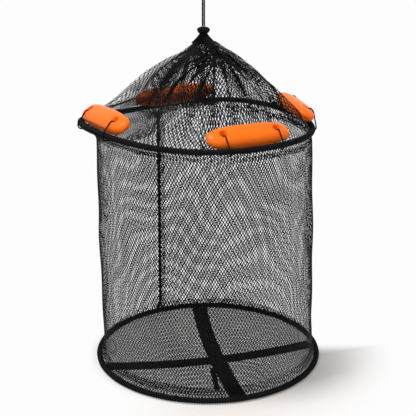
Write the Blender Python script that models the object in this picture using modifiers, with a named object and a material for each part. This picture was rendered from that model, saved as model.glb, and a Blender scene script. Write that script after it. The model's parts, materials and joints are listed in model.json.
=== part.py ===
# Floating keep net: two wire hoops with a tube of netting between them, a netting crown drawn
# together on a cord, four floats lashed to the upper hoop and two webbing straps under the base.
#
# Metres, +Z up. All pieces are written in the base frame: its origin is the middle of the lower
# hoop, on the plane that the straps lie on. The base frame hangs below the world origin, which is
# the top of the hang loop.

import math

import bmesh
import bpy
import numpy as np
from mathutils import Matrix, Vector

OBJECT_NAME = "floating_keep_net"

# Clearances
FIT = 0.0003                  # gap that touching pieces keep
SLIP = 0.0007                 # gap between a lashing and what it goes round or through

# Hoops and their bindings
HOOP_RADIUS = 0.195           # to the middle of the wire
HOOP_WIRE = 0.005             # wire diameter
SLEEVE_FIT = 0.0005           # gap between wire and ferrule
SLEEVE_WALL = 0.0008          # ferrule that joins the wire's two ends
SLEEVE_SPAN = 2               # ferrule's length, in segments of the hoop
SLEEVE_START = 15             # segment of the hoop where the ferrule starts
BINDING_DIAMETER = 0.0104     # sewn binding over wire and netting
BINDING_WALL = 0.0007
BINDING_SLIT = math.radians(150)  # the binding is open where the netting goes in
SLIT_TURN = math.radians(30)      # the opening faces inwards, turned this far to the wall
HOOP_STEPS = 48               # segments round a hoop, and round what is sewn to it
WIRE_SIDES = 6
LIP_STEPS = 5                 # segments of an open ring section, from lip to lip

# Where the upper hoop hangs, over the middle of the lower one
HOOP_SPACING = 0.4147         # between the hoops' middles
UPPER_SHIFT = (-0.0191, 0.0076)
UPPER_LEAN = (-0.0149, -0.0189)   # rise for each metre along X and Y
UPPER_SADDLE = 0.0058         # two-lobed spring of the thin wire
UPPER_WAVE = 0.0037           # three-lobed spring
UPPER_WAVE_AT = math.radians(51)

# Netting
NET_THICKNESS = 0.0008
NET_INSET = 0.0038            # from the middle of the wire in to the edge of crown and base
CROWN_EDGE_RISE = 0.0020      # from the middle of the wire up to the crown's edge
WALL_INSET = 0.0025           # from the middle of the wire in to the wall's edge
WALL_EDGE_DROP = 0.0036       # from the middle of the wire down or up to the wall's edge
WALL_TOP_DRAW = 0.0124        # how far the tube is drawn in from the hoop, at its top
WALL_BOTTOM_DRAW = 0.0084
WALL_TOP_SHIFT = (-0.0063, 0.0030)
WALL_FUNNEL = 0.026           # height over which the wall draws in under the upper hoop
WALL_FLARE = 0.020            # height over which the wall spreads to the lower hoop
WALL_BARS = 24                # upright bars of the coarse grid that stands for the mesh
WALL_GAP_ROWS = 6             # rows of openings down the tube
NET_BAR = 0.006               # width of a bar between two openings
UPPER_HEM_WAYS = (0.3, 0.65)  # doubled edge of the wall, just inside it; ways as in wall_row
LOWER_HEM_WAYS = (2.4, 2.7)
SEAM_WIDTH = 0.0045           # laced seam up the back of the wall
SEAM_THICKNESS = 0.0012
SEAM_TOP_AT = math.radians(116)
SEAM_BOTTOM_AT = math.radians(121.5)

# Crown, drawn together on the cord
CROWN_NECK_RADIUS = 0.0058
CROWN_HEIGHT = 0.1393         # from the upper hoop to the neck
CROWN_ROUNDING = 0.14         # how far the crown bellies out of a straight cone
CROWN_FOLDS = 10
FOLD_DEPTH = 0.0045
FOLD_SHIFT = 1.763            # brings a crest to each side of the crown's outline
FOLD_OUT = 0.6                # a fold's push away from the middle, for each unit of its depth
FOLD_UP = 0.8                 # and its push upwards
FOLD_BREADTH = 0.7            # 1 lets the folds fade evenly from the crown's middle, less keeps them
FOLD_LAST = 0.98              # share of the way to the neck past which the folds stay as deep
CROWN_SHARES = (0.0, 0.045, 0.133, 0.25, 0.422, 0.448, 0.62, 0.82, 0.93, 1.0)   # hoop to neck
CROWN_GAP_ROWS = (3, 5)       # spans between those rows, from the neck, that have openings
FULLNESS_LEFT = -0.0030       # how far the crown stands over the even shape, at its left
FULLNESS_RIGHT = 0.0080       # and at its right
FULLNESS_AT = math.radians(10)
FULLNESS_START = 0.25         # share of the way to the neck where it has reached its full height
FULLNESS_END = 0.10           # and the last share, in which it fades again
NECK_LIFT = 0.0075            # how far the bunched netting beside the knot stands over that
NECK_START = 0.80             # share of the way to the neck where the bunch begins
NECK_MIDDLE = 0.93            # and where it is highest
DIP_START = 0.0085            # how far in the dip under a float reaches its depth
DIP_FADE = 0.42               # share of the way to the middle where the dip has ended
DIP_FLANK = 0.35              # length of the dip's fading end, of half the float's length
SLACK_DIP = 0.72              # length of the dip under a float on slack lashings, of the usual one

# Base netting and straps
BASE_THICKNESS = 0.0008
BASE_STRAND = 0.0024          # between two gaps of the base netting
GAP_WIDTH = 0.0430            # one gap with its strand, across
GAP_LENGTH = 0.0510           # one gap with its strand, along
GAP_STAGGER = 2               # rows after which the gaps repeat
BASE_RIM = 0.005              # plain netting left round the edge
STRAP_WIDTH = 0.0285
STRAP_THICKNESS = 0.0012
STRAP_STEPS = 12
CROSS_STRAP_BOW = (-0.042, 0.24, 0.70)    # offset, slope and bow of its middle line
LONG_STRAP_BOW = (0.0085, -0.189, 0.30)
TAIL_WIDTH = 0.009            # loose tape tail beside the long strap
TAIL_LENGTH = 0.080
TAIL_REACH = 0.125            # from the hoop's wire in to the end that is sewn down
TAIL_ASIDE = 0.0158           # from the long strap's middle line to the middle of the tail
TAIL_TURN = math.radians(-84)

# Cord, knots and hang loop
CORD_DIAMETER = 0.0026
STRAND_SPACING = 0.0029
HANG_LINE = (-0.0075, 0.0020)     # the cord's line, in the base frame
STRAND_LENGTH = 0.0505            # of the two taut strands, from knot to knot
KNOT_WIDTH = 0.0215
KNOT_DEPTH = 0.0120
KNOT_HEIGHT = 0.0125
KNOT_LOBES = 0.10                 # how much the knot's four turns stand out
KNOT_FLATNESS = 0.82              # height of its middle, of the height of its lobes
KNOT_TILT = 0.16                  # one lobe lies higher than the other
TOP_KNOT_SCALE = 0.8
LOOP_WIDTH = 0.021
LOOP_FULLNESS = 1.2               # 1 is a round-headed loop, more is a slimmer one
LOOP_LENGTH = 0.04475             # from the top knot to the top of the hang loop
HEM_RING_HEIGHT = 0.01085         # gathered mouth hem under the knot
HEM_RING_RADIUS = 0.0072
HEM_RING_BORE = 0.0034
HEM_RUFFLES = 9
RUFFLE_DEPTH = 0.0007
RUFFLE_STEPS = 3

# Floats
FLOAT_LENGTH = 0.146
FLOAT_WIDTH = 0.040
FLOAT_THICKNESS = 0.027
FLOAT_SQUARENESS = 0.65           # 1 is an ellipse, less is squarer in outline
FLOAT_ROUNDING = 0.8
FLOAT_RISE = 0.0264               # from the lashings' line to the middle of the float
FLOAT_OUT = 0.0020                # from that line to its middle, square to its face
SLACK_FLOAT_OUT = 0.0150          # the same for the right float, whose lashings are slack
FLOAT_PRESS = 0.0087              # how much of half the float's thickness lies above the hoop
FLOAT_OVERHANG = 0.014            # how much of its width lies past the flat of the dip
HOLE_SPACING = 0.0960             # between the two lashing holes
HOLE_MOUTH = 0.0138
HOLE_WAIST = 0.0060
HOLE_STEPS = 16
FLOAT_STEPS = 20
FLOAT_ROWS = 10
LASHING_DIAMETER = 0.0022
LASHING_STEPS = 16
LASHING_IN_HOLE = 0.72            # of the way from the float's middle to its face
LASHING_LIP = 0.0060              # from the hole's middle to where the lashing leaves it
LASHING_EDGE = 0.9                # share of the float's half width to which it follows the face
LIP_CLEARANCE = 0.0008            # more than elsewhere, as the hole's edge is sharp
# name, azimuth from the front towards the right, lean from upright towards the outside, and
# how far the float stands off its lashings' line
FLOATS = (
    ("front", math.radians(29), math.radians(-58), FLOAT_OUT),
    ("right", math.radians(102), math.radians(-62), SLACK_FLOAT_OUT),
    ("back", math.radians(194), math.radians(-44), FLOAT_OUT),
    ("left", math.radians(-60), math.radians(-58), FLOAT_OUT),
)

# Levels that follow from the sizes above
LOWER_LEVEL = BINDING_DIAMETER / 2
UPPER_LEVEL = LOWER_LEVEL + HOOP_SPACING
BASE_LEVEL = 2 * STRAP_THICKNESS + 3 * FIT
CROWN_TOP = UPPER_LEVEL + CROWN_HEIGHT
HEM_RING_LEVEL = CROWN_TOP + NET_THICKNESS / 2 + 2 * FIT
APEX_KNOT_LEVEL = HEM_RING_LEVEL + HEM_RING_HEIGHT + FIT + KNOT_HEIGHT / 2
STRAND_LEVEL = APEX_KNOT_LEVEL + KNOT_HEIGHT / 2 + FIT
TOP_KNOT_HEIGHT = KNOT_HEIGHT * TOP_KNOT_SCALE
TOP_KNOT_LEVEL = STRAND_LEVEL + STRAND_LENGTH + FIT + TOP_KNOT_HEIGHT / 2
LOOP_LEVEL = TOP_KNOT_LEVEL + TOP_KNOT_HEIGHT / 2 + FIT
HANG_HEIGHT = LOOP_LEVEL + LOOP_LENGTH

# The crown's dip under a float: how deep it is, and how far in it stays flat
DIP_DEPTH = CROWN_EDGE_RISE + FLOAT_THICKNESS / 2 - FLOAT_PRESS
DIP_REACH = FLOAT_WIDTH - FLOAT_OVERHANG

BLACK_NET = ("net_black", (0.012, 0.012, 0.014), 0.62, 0.0)
BLACK_TAPE = ("tape_black", (0.010, 0.010, 0.011), 0.75, 0.0)
BLACK_CORD = ("cord_black", (0.014, 0.014, 0.016), 0.55, 0.0)
ORANGE_FLOAT = ("float_orange", (0.95, 0.20, 0.02), 0.28, 0.0)
HOOP_STEEL = ("hoop_steel", (0.45, 0.46, 0.48), 0.35, 1.0)
FERRULE_STEEL = ("ferrule_steel", (0.55, 0.56, 0.58), 0.30, 1.0)


def clear_scene():
    """Empties the file that Blender opened with."""
    for obj in list(bpy.data.objects):
        bpy.data.objects.remove(obj, do_unlink=True)


def new_collection(name):
    collection = bpy.data.collections.new(name)
    bpy.context.scene.collection.children.link(collection)
    return collection


def make_material(name, colour, roughness, metallic):
    """A Principled material, made for one piece."""
    material = bpy.data.materials.new(name)
    material.use_nodes = True
    shader = material.node_tree.nodes["Principled BSDF"]
    shader.inputs["Base Color"].default_value = (*colour, 1.0)
    shader.inputs["Roughness"].default_value = roughness
    shader.inputs["Metallic"].default_value = metallic
    material.diffuse_color = (*colour, 1.0)
    return material


def add_part(name, data, finish, parent):
    """Puts a piece in the model under its parent, with a material of its own."""
    obj = bpy.data.objects.new(name, data)
    PARTS.objects.link(obj)
    data.materials.clear()
    data.materials.append(make_material(name + "_" + finish[0], *finish[1:]))
    obj.parent = parent
    return obj


def add_guide(name, data, parent):
    """A cutter: it shapes other pieces and isn't one itself."""
    obj = bpy.data.objects.new(name, data)
    CUTTERS.objects.link(obj)
    obj.display_type = "WIRE"
    obj.hide_render = True
    obj.parent = parent
    return obj


def add_frame(name, matrix, parent):
    """An empty that carries the pieces of one body."""
    empty = bpy.data.objects.new(name, None)
    PARTS.objects.link(empty)
    empty.parent = parent
    empty.matrix_local = matrix
    return empty


def poly_curve(name, points, radius, resolution, cyclic):
    """A round tube through the points, with filled caps."""
    curve = bpy.data.curves.new(name, "CURVE")
    curve.dimensions = "3D"
    curve.bevel_depth = radius
    curve.bevel_resolution = resolution
    curve.use_fill_caps = not cyclic
    spline = curve.splines.new("POLY")
    spline.points.add(len(points) - 1)
    for spot, point in zip(spline.points, points):
        spot.co = (*point, 1.0)
    spline.use_cyclic_u = cyclic
    spline.use_smooth = True
    return curve


def flat_curve(name, loops, thickness):
    """A plate: the first loop is its outline, the others are holes in it."""
    curve = bpy.data.curves.new(name, "CURVE")
    curve.dimensions = "2D"
    curve.fill_mode = "BOTH"
    curve.extrude = thickness / 2
    for loop in loops:
        spline = curve.splines.new("POLY")
        spline.points.add(len(loop) - 1)
        for spot, (x, y) in zip(spline.points, loop):
            spot.co = (x, y, 0.0, 1.0)
        spline.use_cyclic_u = True
    return curve


def smooth(mesh, angle=35):
    mesh.shade_smooth()
    mesh.set_sharp_from_angle(angle=math.radians(angle))


def mesh_of(obj):
    """The mesh that an object's modifiers give, as new data."""
    bpy.context.view_layer.update()
    evaluated = obj.evaluated_get(bpy.context.evaluated_depsgraph_get())
    return bpy.data.meshes.new_from_object(evaluated)


def sheet_mesh(name, rows, closed=True, gaps=None):
    """An open sheet through rows of points; each row goes round the net, top row first.

    gaps is true where the span between two rows and two columns is an opening.
    """
    height, width = rows.shape[:2]
    across = width if closed else width - 1
    row, col = np.meshgrid(np.arange(height - 1), np.arange(across), indexing="ij")
    here = row * width + col
    beside = row * width + (col + 1) % width
    faces = np.stack([here, here + width, beside + width, beside], axis=-1).reshape(-1, 4)
    if gaps is not None:
        faces = faces[~gaps.reshape(-1)]
    mesh = bpy.data.meshes.new(name)
    mesh.from_pydata(rows.reshape(-1, 3).tolist(), [], faces.tolist())
    return mesh


def add_sheet(name, rows, thickness, finish, parent, closed=True, gaps=None):
    """A sheet of netting given its thickness by Solidify, half to each side."""
    mesh = sheet_mesh(name, rows, closed, gaps)
    obj = add_part(name, mesh, finish, parent)
    solidify = obj.modifiers.new("thickness", "SOLIDIFY")
    solidify.thickness = thickness
    solidify.offset = 0.0
    mesh.shade_smooth()
    return obj


def ease(t):
    """A smooth step from 0 to 1."""
    t = np.clip(t, 0.0, 1.0)
    return t * t * (3.0 - 2.0 * t)


def upper_lift(angle):
    """Height of the upper hoop's wire over its middle level: its lean and its spring."""
    lean = HOOP_RADIUS * (UPPER_LEAN[0] * np.cos(angle) + UPPER_LEAN[1] * np.sin(angle))
    saddle = UPPER_SADDLE * np.sin(2 * angle)
    wave = UPPER_WAVE * np.cos(3 * angle - UPPER_WAVE_AT)
    return lean + saddle - wave


def round_points(angle, radius, centre, level):
    """Points at one radius round a centre; radius and level may change with the angle."""
    x = centre[0] + radius * np.cos(angle)
    y = centre[1] + radius * np.sin(angle)
    z = level + 0.0 * angle
    return np.stack([x, y, z], axis=-1)


def upper_wire(angle):
    return round_points(angle, HOOP_RADIUS, UPPER_SHIFT, UPPER_LEVEL + upper_lift(angle))


def spring(mesh):
    """Moves a flat ring piece to the upper hoop's place and gives it the hoop's spring."""
    count = len(mesh.vertices)
    points = np.empty(count * 3, dtype=np.float32)
    mesh.vertices.foreach_get("co", points)
    points = points.reshape(-1, 3)
    angle = np.arctan2(points[:, 1], points[:, 0])
    points[:, 2] += upper_lift(angle) + UPPER_LEVEL
    points[:, 0] += UPPER_SHIFT[0]
    points[:, 1] += UPPER_SHIFT[1]
    mesh.vertices.foreach_set("co", points.reshape(-1))


def lower(mesh):
    """Lifts a flat ring piece to the lower hoop's level."""
    mesh.transform(Matrix.Translation((0.0, 0.0, LOWER_LEVEL)))


def slit_section(outer, wall, turn):
    """Outline of an open ring section, from one lip of its slit round to the other."""
    half = BINDING_SLIT / 2
    sweep = turn + np.linspace(math.pi + half, 3 * math.pi - half, LIP_STEPS + 1)
    outside = [(outer * math.cos(a), outer * math.sin(a)) for a in sweep]
    inside = [((outer - wall) * math.cos(a), (outer - wall) * math.sin(a)) for a in sweep[::-1]]
    return outside + inside


def turned_ring(name, section, start, sweep, steps):
    """A section carried round the hoop's circle by Screw, over all or part of a turn."""
    profile = bpy.data.meshes.new(name + "_section")
    spots = [(HOOP_RADIUS + r, 0.0, z) for r, z in section]
    edges = [(i, (i + 1) % len(spots)) for i in range(len(spots))]
    profile.from_pydata(spots, edges, [])
    turner = add_guide(name + "_section", profile, None)
    screw = turner.modifiers.new("turn", "SCREW")
    screw.angle = sweep
    screw.steps = steps
    screw.render_steps = steps
    screw.use_merge_vertices = sweep >= 2 * math.pi
    screw.merge_threshold = 0.00005
    mesh = mesh_of(turner)
    bpy.data.objects.remove(turner, do_unlink=True)
    shape = bmesh.new()
    shape.from_mesh(mesh)
    open_edges = [edge for edge in shape.edges if edge.is_boundary]
    if open_edges:
        bmesh.ops.holes_fill(shape, edges=open_edges, sides=0)
    bmesh.ops.rotate(shape, verts=shape.verts, cent=(0, 0, 0),
                     matrix=Matrix.Rotation(start, 3, "Z"))
    bmesh.ops.recalc_face_normals(shape, faces=shape.faces)
    shape.to_mesh(mesh)
    shape.free()
    return mesh


def add_hoop(name, place, parent):
    """The wire hoop itself."""
    bpy.ops.mesh.primitive_torus_add(major_radius=HOOP_RADIUS, minor_radius=HOOP_WIRE / 2,
                                     major_segments=HOOP_STEPS, minor_segments=WIRE_SIDES)
    torus = bpy.context.object
    mesh = torus.data.copy()
    bpy.data.objects.remove(torus, do_unlink=True)
    place(mesh)
    mesh.shade_smooth()
    add_part(name + "_hoop", mesh, HOOP_STEEL, parent)


def add_hoop_sleeve(name, place, turn, parent):
    """The split ferrule round the joint in the wire, inside the binding."""
    outer = HOOP_WIRE / 2 + SLEEVE_FIT + SLEEVE_WALL
    step = 2 * math.pi / HOOP_STEPS
    section = slit_section(outer, SLEEVE_WALL, turn)
    mesh = turned_ring(name + "_hoop_sleeve", section, SLEEVE_START * step,
                       SLEEVE_SPAN * step, SLEEVE_SPAN)
    place(mesh)
    smooth(mesh)
    add_part(name + "_hoop_sleeve", mesh, FERRULE_STEEL, parent)


def add_binding(name, place, turn, parent):
    """The sewn binding, open inwards where the netting enters it."""
    section = slit_section(BINDING_DIAMETER / 2, BINDING_WALL, turn)
    mesh = turned_ring(name + "_binding", section, 0.0, 2 * math.pi, HOOP_STEPS)
    place(mesh)
    smooth(mesh)
    add_part(name + "_binding", mesh, BLACK_TAPE, parent)


def wall_top(angle):
    """The wall netting's upper edge, just inside the binding."""
    level = UPPER_LEVEL + upper_lift(angle) - WALL_EDGE_DROP
    return round_points(angle, HOOP_RADIUS - WALL_INSET, UPPER_SHIFT, level)


def wall_tube(angle, share, level):
    """The taut part of the wall; share runs from 0 at its top to 1 at its bottom."""
    radius = HOOP_RADIUS - WALL_TOP_DRAW * (1 - share) - WALL_BOTTOM_DRAW * share
    centre = [shift * (1 - share) for shift in WALL_TOP_SHIFT]
    return round_points(angle, radius, centre, level)


def wall_row(angle, way):
    """A row of the wall: way goes 0 to 1 down the funnel, to 2 down the tube, to 3 at the hoop."""
    edge = wall_top(angle)
    funnel_end = edge[..., 2] - WALL_FUNNEL
    foot_level = LOWER_LEVEL + WALL_EDGE_DROP
    flare_start = foot_level + WALL_FLARE
    if way <= 1:
        inward = 1 - (1 - way) ** 2
        level = edge[..., 2] - WALL_FUNNEL * way
        return edge * (1 - inward) + wall_tube(angle, 0.0, level) * inward + (
            np.stack([0 * level, 0 * level, (level - edge[..., 2]) * (1 - inward)], axis=-1))
    if way <= 2:
        share = way - 1
        return wall_tube(angle, share, funnel_end * (1 - share) + flare_start * share)
    down = way - 2
    spread = down ** 2
    level = flare_start * (1 - down) + foot_level * down
    foot = round_points(angle, HOOP_RADIUS - WALL_INSET, (0.0, 0.0), level)
    return wall_tube(angle, 1.0, level + 0.0 * angle) * (1 - spread) + foot * spread


def turn_angles(steps):
    return np.arange(steps) * (2 * math.pi / steps)


def seam_angle(way):
    """Angle of the seam, which leans a little round the net on its way down."""
    return SEAM_TOP_AT + (SEAM_BOTTOM_AT - SEAM_TOP_AT) * way / 3


def bar_edges(middles):
    """Angles of both edges of each upright bar."""
    half = NET_BAR / 2 / HOOP_RADIUS
    return np.stack([middles - half, middles + half], axis=-1).reshape(-1)


def wall_lines(way):
    """Angles of the wall's upright lines; one bar runs up behind the seam."""
    return bar_edges(seam_angle(way) + turn_angles(WALL_BARS))


def tube_ways():
    """Ways of the upper and lower edge of each row of openings, which fill the tube."""
    height = HOOP_SPACING - 2 * WALL_EDGE_DROP - WALL_FUNNEL - WALL_FLARE
    bar = NET_BAR / height
    gap = (1 - (WALL_GAP_ROWS - 1) * bar) / WALL_GAP_ROWS
    tops = 1 + (gap + bar) * np.arange(WALL_GAP_ROWS)
    return np.stack([tops, tops + gap], axis=-1).reshape(-1)


def add_wall(parent):
    """The tube of netting between the hoops, as a coarse grid of bars."""
    funnel = (0.0, *UPPER_HEM_WAYS)
    flare = (*LOWER_HEM_WAYS, 3.0)
    tube = tube_ways()
    rows = np.stack([wall_row(wall_lines(way), way) for way in (*funnel, *tube, *flare)])
    gaps = np.zeros((len(rows) - 1, 2 * WALL_BARS), dtype=bool)
    gaps[len(funnel):len(funnel) + len(tube):2, 1::2] = True
    return add_sheet("wall_netting", rows, NET_THICKNESS, BLACK_NET, parent, gaps=gaps)


def add_hems(upper, lower_ring):
    """The doubled edges of the wall, just inside it."""
    inward = 2 * (NET_THICKNESS + FIT)
    for name, ways, parent in (("upper_hem", UPPER_HEM_WAYS, upper),
                               ("lower_hem", LOWER_HEM_WAYS, lower_ring)):
        rows = np.stack([wall_row(wall_lines(way), way) for way in ways])
        middle = rows.mean(axis=1, keepdims=True)
        flat = rows - middle
        flat[..., 2] = 0.0
        reach = np.linalg.norm(flat, axis=-1, keepdims=True)
        rows = rows - flat / reach * inward
        add_sheet(name, rows, NET_THICKNESS, BLACK_NET, parent)


def add_seam(parent):
    """The laced seam up the back, on the outside of the wall."""
    ways = np.concatenate([np.linspace(0.3, 1.0, 3), np.linspace(1.0, 2.0, 9)[1:],
                           np.linspace(2.0, 2.7, 3)[1:]])
    outward = NET_THICKNESS / 2 + SEAM_THICKNESS / 2 + 2 * FIT
    rows = []
    for way in ways:
        middle = seam_angle(way)
        half = SEAM_WIDTH / 2 / HOOP_RADIUS
        angle = np.array([middle - half, middle + half])
        row = wall_row(angle, way)
        row[:, 0] += outward * math.cos(middle)
        row[:, 1] += outward * math.sin(middle)
        rows.append(row)
    add_sheet("wall_seam", np.stack(rows), SEAM_THICKNESS, BLACK_TAPE, parent, closed=False)


def under_floats(angle, inward):
    """1 where a float lies on the crown, 0 well beside it, and how deep it presses the net."""
    cover = 0.0 * angle
    depth = DIP_DEPTH + 0.0 * angle
    flat = (FLOAT_LENGTH / 2) / (HOOP_RADIUS - min(inward, FLOAT_WIDTH))
    for _, azimuth, lean, out in FLOATS:
        away = np.abs((angle - (azimuth - math.pi / 2) + math.pi) % (2 * math.pi) - math.pi)
        long = flat * (SLACK_DIP if out > FLOAT_OUT else 1.0)
        under = 1 - ease((away - long) / (DIP_FLANK * long))
        depth += (out - FLOAT_OUT) * math.sin(lean) * (under > 0)
        cover = np.maximum(cover, under)
    return cover, depth


def fold_phase(angle):
    """Place within the crown's folds: whole turns are crests, half turns are troughs."""
    return CROWN_FOLDS * angle + FOLD_SHIFT * np.cos(angle)


def crown_fullness(angle, share):
    """How far the crown stands over its even shape: fuller on its right than on its left."""
    right = 0.5 + 0.5 * np.cos(angle - FULLNESS_AT)
    fullness = FULLNESS_LEFT * (1 - right) + FULLNESS_RIGHT * right
    bunch = ease((share - NECK_START) / (NECK_MIDDLE - NECK_START)) * ease((1 - share) / (1 - NECK_MIDDLE))
    held = ease(share / FULLNESS_START) * ease((1 - share) / FULLNESS_END)
    return fullness * held + NECK_LIFT * bunch


def crown_row(angle, share):
    """A row of the crown; share runs from 0 at the hoop to 1 at the neck.

    The netting goes straight from the hoop to the neck but for a slight belly, dips under the
    floats, and is drawn into folds that run down from the neck.
    """
    edge = round_points(angle, HOOP_RADIUS - NET_INSET, UPPER_SHIFT,
                        UPPER_LEVEL + upper_lift(angle) + CROWN_EDGE_RISE)
    neck = round_points(angle, CROWN_NECK_RADIUS, HANG_LINE, CROWN_TOP)
    rest = 1 - share
    climb = 1 - (1 - CROWN_ROUNDING) * rest - CROWN_ROUNDING * rest ** 2
    points = edge * rest + neck * share
    height = CROWN_TOP - edge[..., 2]
    inward = share * HOOP_RADIUS
    rise = ease((inward - DIP_REACH) / (DIP_FADE * HOOP_RADIUS - DIP_REACH))
    cover, depth = under_floats(angle, inward)
    dip = edge[..., 2] - depth * ease(inward / DIP_START)
    open_level = edge[..., 2] + height * climb
    tucked_level = dip * (1 - rise) + open_level * rise
    points[..., 2] = open_level * (1 - cover) + tucked_level * cover
    free = 1 - cover * (1 - rise)
    points[..., 2] += crown_fullness(angle, share) * free
    depth = FOLD_DEPTH * math.sin(math.pi * min(share, FOLD_LAST)) ** FOLD_BREADTH
    depth = depth * free * np.cos(fold_phase(angle))
    points[..., 0] += depth * np.cos(angle) * FOLD_OUT
    points[..., 1] += depth * np.sin(angle) * FOLD_OUT
    points[..., 2] += depth * FOLD_UP
    return points


def crown_lines():
    """Angles of the crown's lines: a bar on each crest and trough, and a line midway between."""
    angle = np.linspace(0.0, 2 * math.pi, 721)
    turns = np.arange(1, 2 * CROWN_FOLDS + 1) * math.pi
    bars = np.interp(turns, fold_phase(angle), angle)
    following = np.append(bars[1:], bars[0] + 2 * math.pi)
    edges = bar_edges(bars).reshape(-1, 2)
    return np.column_stack([edges, (bars + following) / 2]).reshape(-1)


def add_crown(parent):
    """The netting drawn together from the upper hoop to the knot, with its main folds."""
    angle = crown_lines()
    rows = np.stack([crown_row(angle, share) for share in CROWN_SHARES[::-1]])
    gaps = np.zeros((len(rows) - 1, len(angle)), dtype=bool)
    for row in CROWN_GAP_ROWS:
        gaps[row, 1::3] = True
        gaps[row, 2::3] = True
    return add_sheet("crown_netting", rows, NET_THICKNESS, BLACK_NET, parent, gaps=gaps)


def base_gaps(reach):
    """The gaps of the base netting: staggered rows of diamonds, whole ones inside the rim."""
    half_w = (GAP_WIDTH - BASE_STRAND) / 2
    half_l = (GAP_LENGTH - BASE_STRAND * GAP_LENGTH / GAP_WIDTH) / 2
    gaps = []
    rows = math.ceil(GAP_STAGGER * reach / GAP_LENGTH)
    columns = math.ceil(reach / GAP_WIDTH)
    for row in range(-rows, rows + 1):
        for column in range(-columns, columns + 1):
            x = (column + (row % GAP_STAGGER) / GAP_STAGGER) * GAP_WIDTH
            y = row * GAP_LENGTH / GAP_STAGGER
            corners = [(x + half_w, y), (x, y + half_l), (x - half_w, y), (x, y - half_l)]
            if max(math.hypot(*corner) for corner in corners) < reach:
                gaps.append(corners)
    return gaps


def add_base_netting(parent):
    """The flat netting over the lower hoop, as a plate with its gaps cut out."""
    radius = HOOP_RADIUS - NET_INSET
    rim = [(radius * math.cos(a), radius * math.sin(a)) for a in turn_angles(HOOP_STEPS)]
    curve = flat_curve("base_netting", [rim] + base_gaps(radius - BASE_RIM), BASE_THICKNESS)
    obj = add_part("base_netting", curve, BLACK_NET, parent)
    obj.location = (0.0, 0.0, BASE_LEVEL + BASE_THICKNESS / 2)


def strap_middle(bow, t):
    """A strap's middle line: offset + slope t + bend t t."""
    offset, slope, bend = bow
    return offset + slope * t + bend * t * t


def strap_outline(bow):
    """Plan of a strap along its bowed middle line, out to the binding."""
    inside = HOOP_RADIUS - BINDING_DIAMETER / 2 - FIT
    half = STRAP_WIDTH / 2

    def side_of(t, side):
        """A point of one long edge, square to the middle line."""
        turn = math.atan(bow[1] + 2 * bow[2] * t)
        return (t - side * half * math.sin(turn), strap_middle(bow, t) + side * half * math.cos(turn))

    def end_of(direction, side):
        """How far an edge runs before it meets the binding, found by halving."""
        near, far = 0.0, direction * HOOP_RADIUS
        for _ in range(40):
            middle = (near + far) / 2
            if math.hypot(*side_of(middle, side)) < inside:
                near = middle
            else:
                far = middle
        return near

    upper_edge = np.linspace(end_of(-1, 1), end_of(1, 1), STRAP_STEPS)
    lower_edge = np.linspace(end_of(1, -1), end_of(-1, -1), STRAP_STEPS)
    return [side_of(t, 1) for t in upper_edge] + [side_of(t, -1) for t in lower_edge]


def add_straps(parent):
    """Two webbing straps that cross under the base, one on the other, and a loose tape tail."""
    cross = strap_outline(CROSS_STRAP_BOW)
    long = [(y, x) for x, y in strap_outline(LONG_STRAP_BOW)]
    for name, outline, level in (("base_strap_cross", cross, 0.0),
                                 ("base_strap_long", long, STRAP_THICKNESS + FIT)):
        curve = flat_curve(name, [outline], STRAP_THICKNESS)
        strap = add_part(name, curve, BLACK_TAPE, parent)
        strap.location = (0.0, 0.0, level + STRAP_THICKNESS / 2)
    half = TAIL_WIDTH / 2
    tail = [(0.0, -half), (TAIL_LENGTH, -half), (TAIL_LENGTH, half), (0.0, half)]
    obj = add_part("strap_tail", flat_curve("strap_tail", [tail], STRAP_THICKNESS), BLACK_TAPE, parent)
    back = TAIL_REACH - HOOP_RADIUS
    obj.location = (strap_middle(LONG_STRAP_BOW, back) - TAIL_ASIDE, back, STRAP_THICKNESS / 2)
    obj.rotation_euler = (0.0, 0.0, TAIL_TURN)


def add_knot(name, level, scale, parent):
    """An overhand knot drawn tight: a round body with a lobe to each side."""
    bpy.ops.mesh.primitive_uv_sphere_add(segments=16, ring_count=10, radius=0.5)
    sphere = bpy.context.object
    mesh = sphere.data.copy()
    bpy.data.objects.remove(sphere, do_unlink=True)
    count = len(mesh.vertices)
    points = np.empty(count * 3, dtype=np.float32)
    mesh.vertices.foreach_get("co", points)
    points = points.reshape(-1, 3)
    around = np.arctan2(points[:, 1], points[:, 0])
    swell = (1 + KNOT_LOBES * np.cos(4 * around)) / (1 + KNOT_LOBES)
    points[:, 2] *= KNOT_FLATNESS + 2 * (1 - KNOT_FLATNESS) * np.abs(points[:, 0])
    points[:, 2] += KNOT_TILT * points[:, 0]
    points *= swell[:, None]
    points *= np.array([KNOT_WIDTH, KNOT_DEPTH, KNOT_HEIGHT]) * scale
    points[:, 2] -= (points[:, 2].max() + points[:, 2].min()) / 2
    mesh.vertices.foreach_set("co", points.reshape(-1))
    mesh.shade_smooth()
    obj = add_part(name, mesh, BLACK_CORD, parent)
    obj.location = (*HANG_LINE, level)


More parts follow.
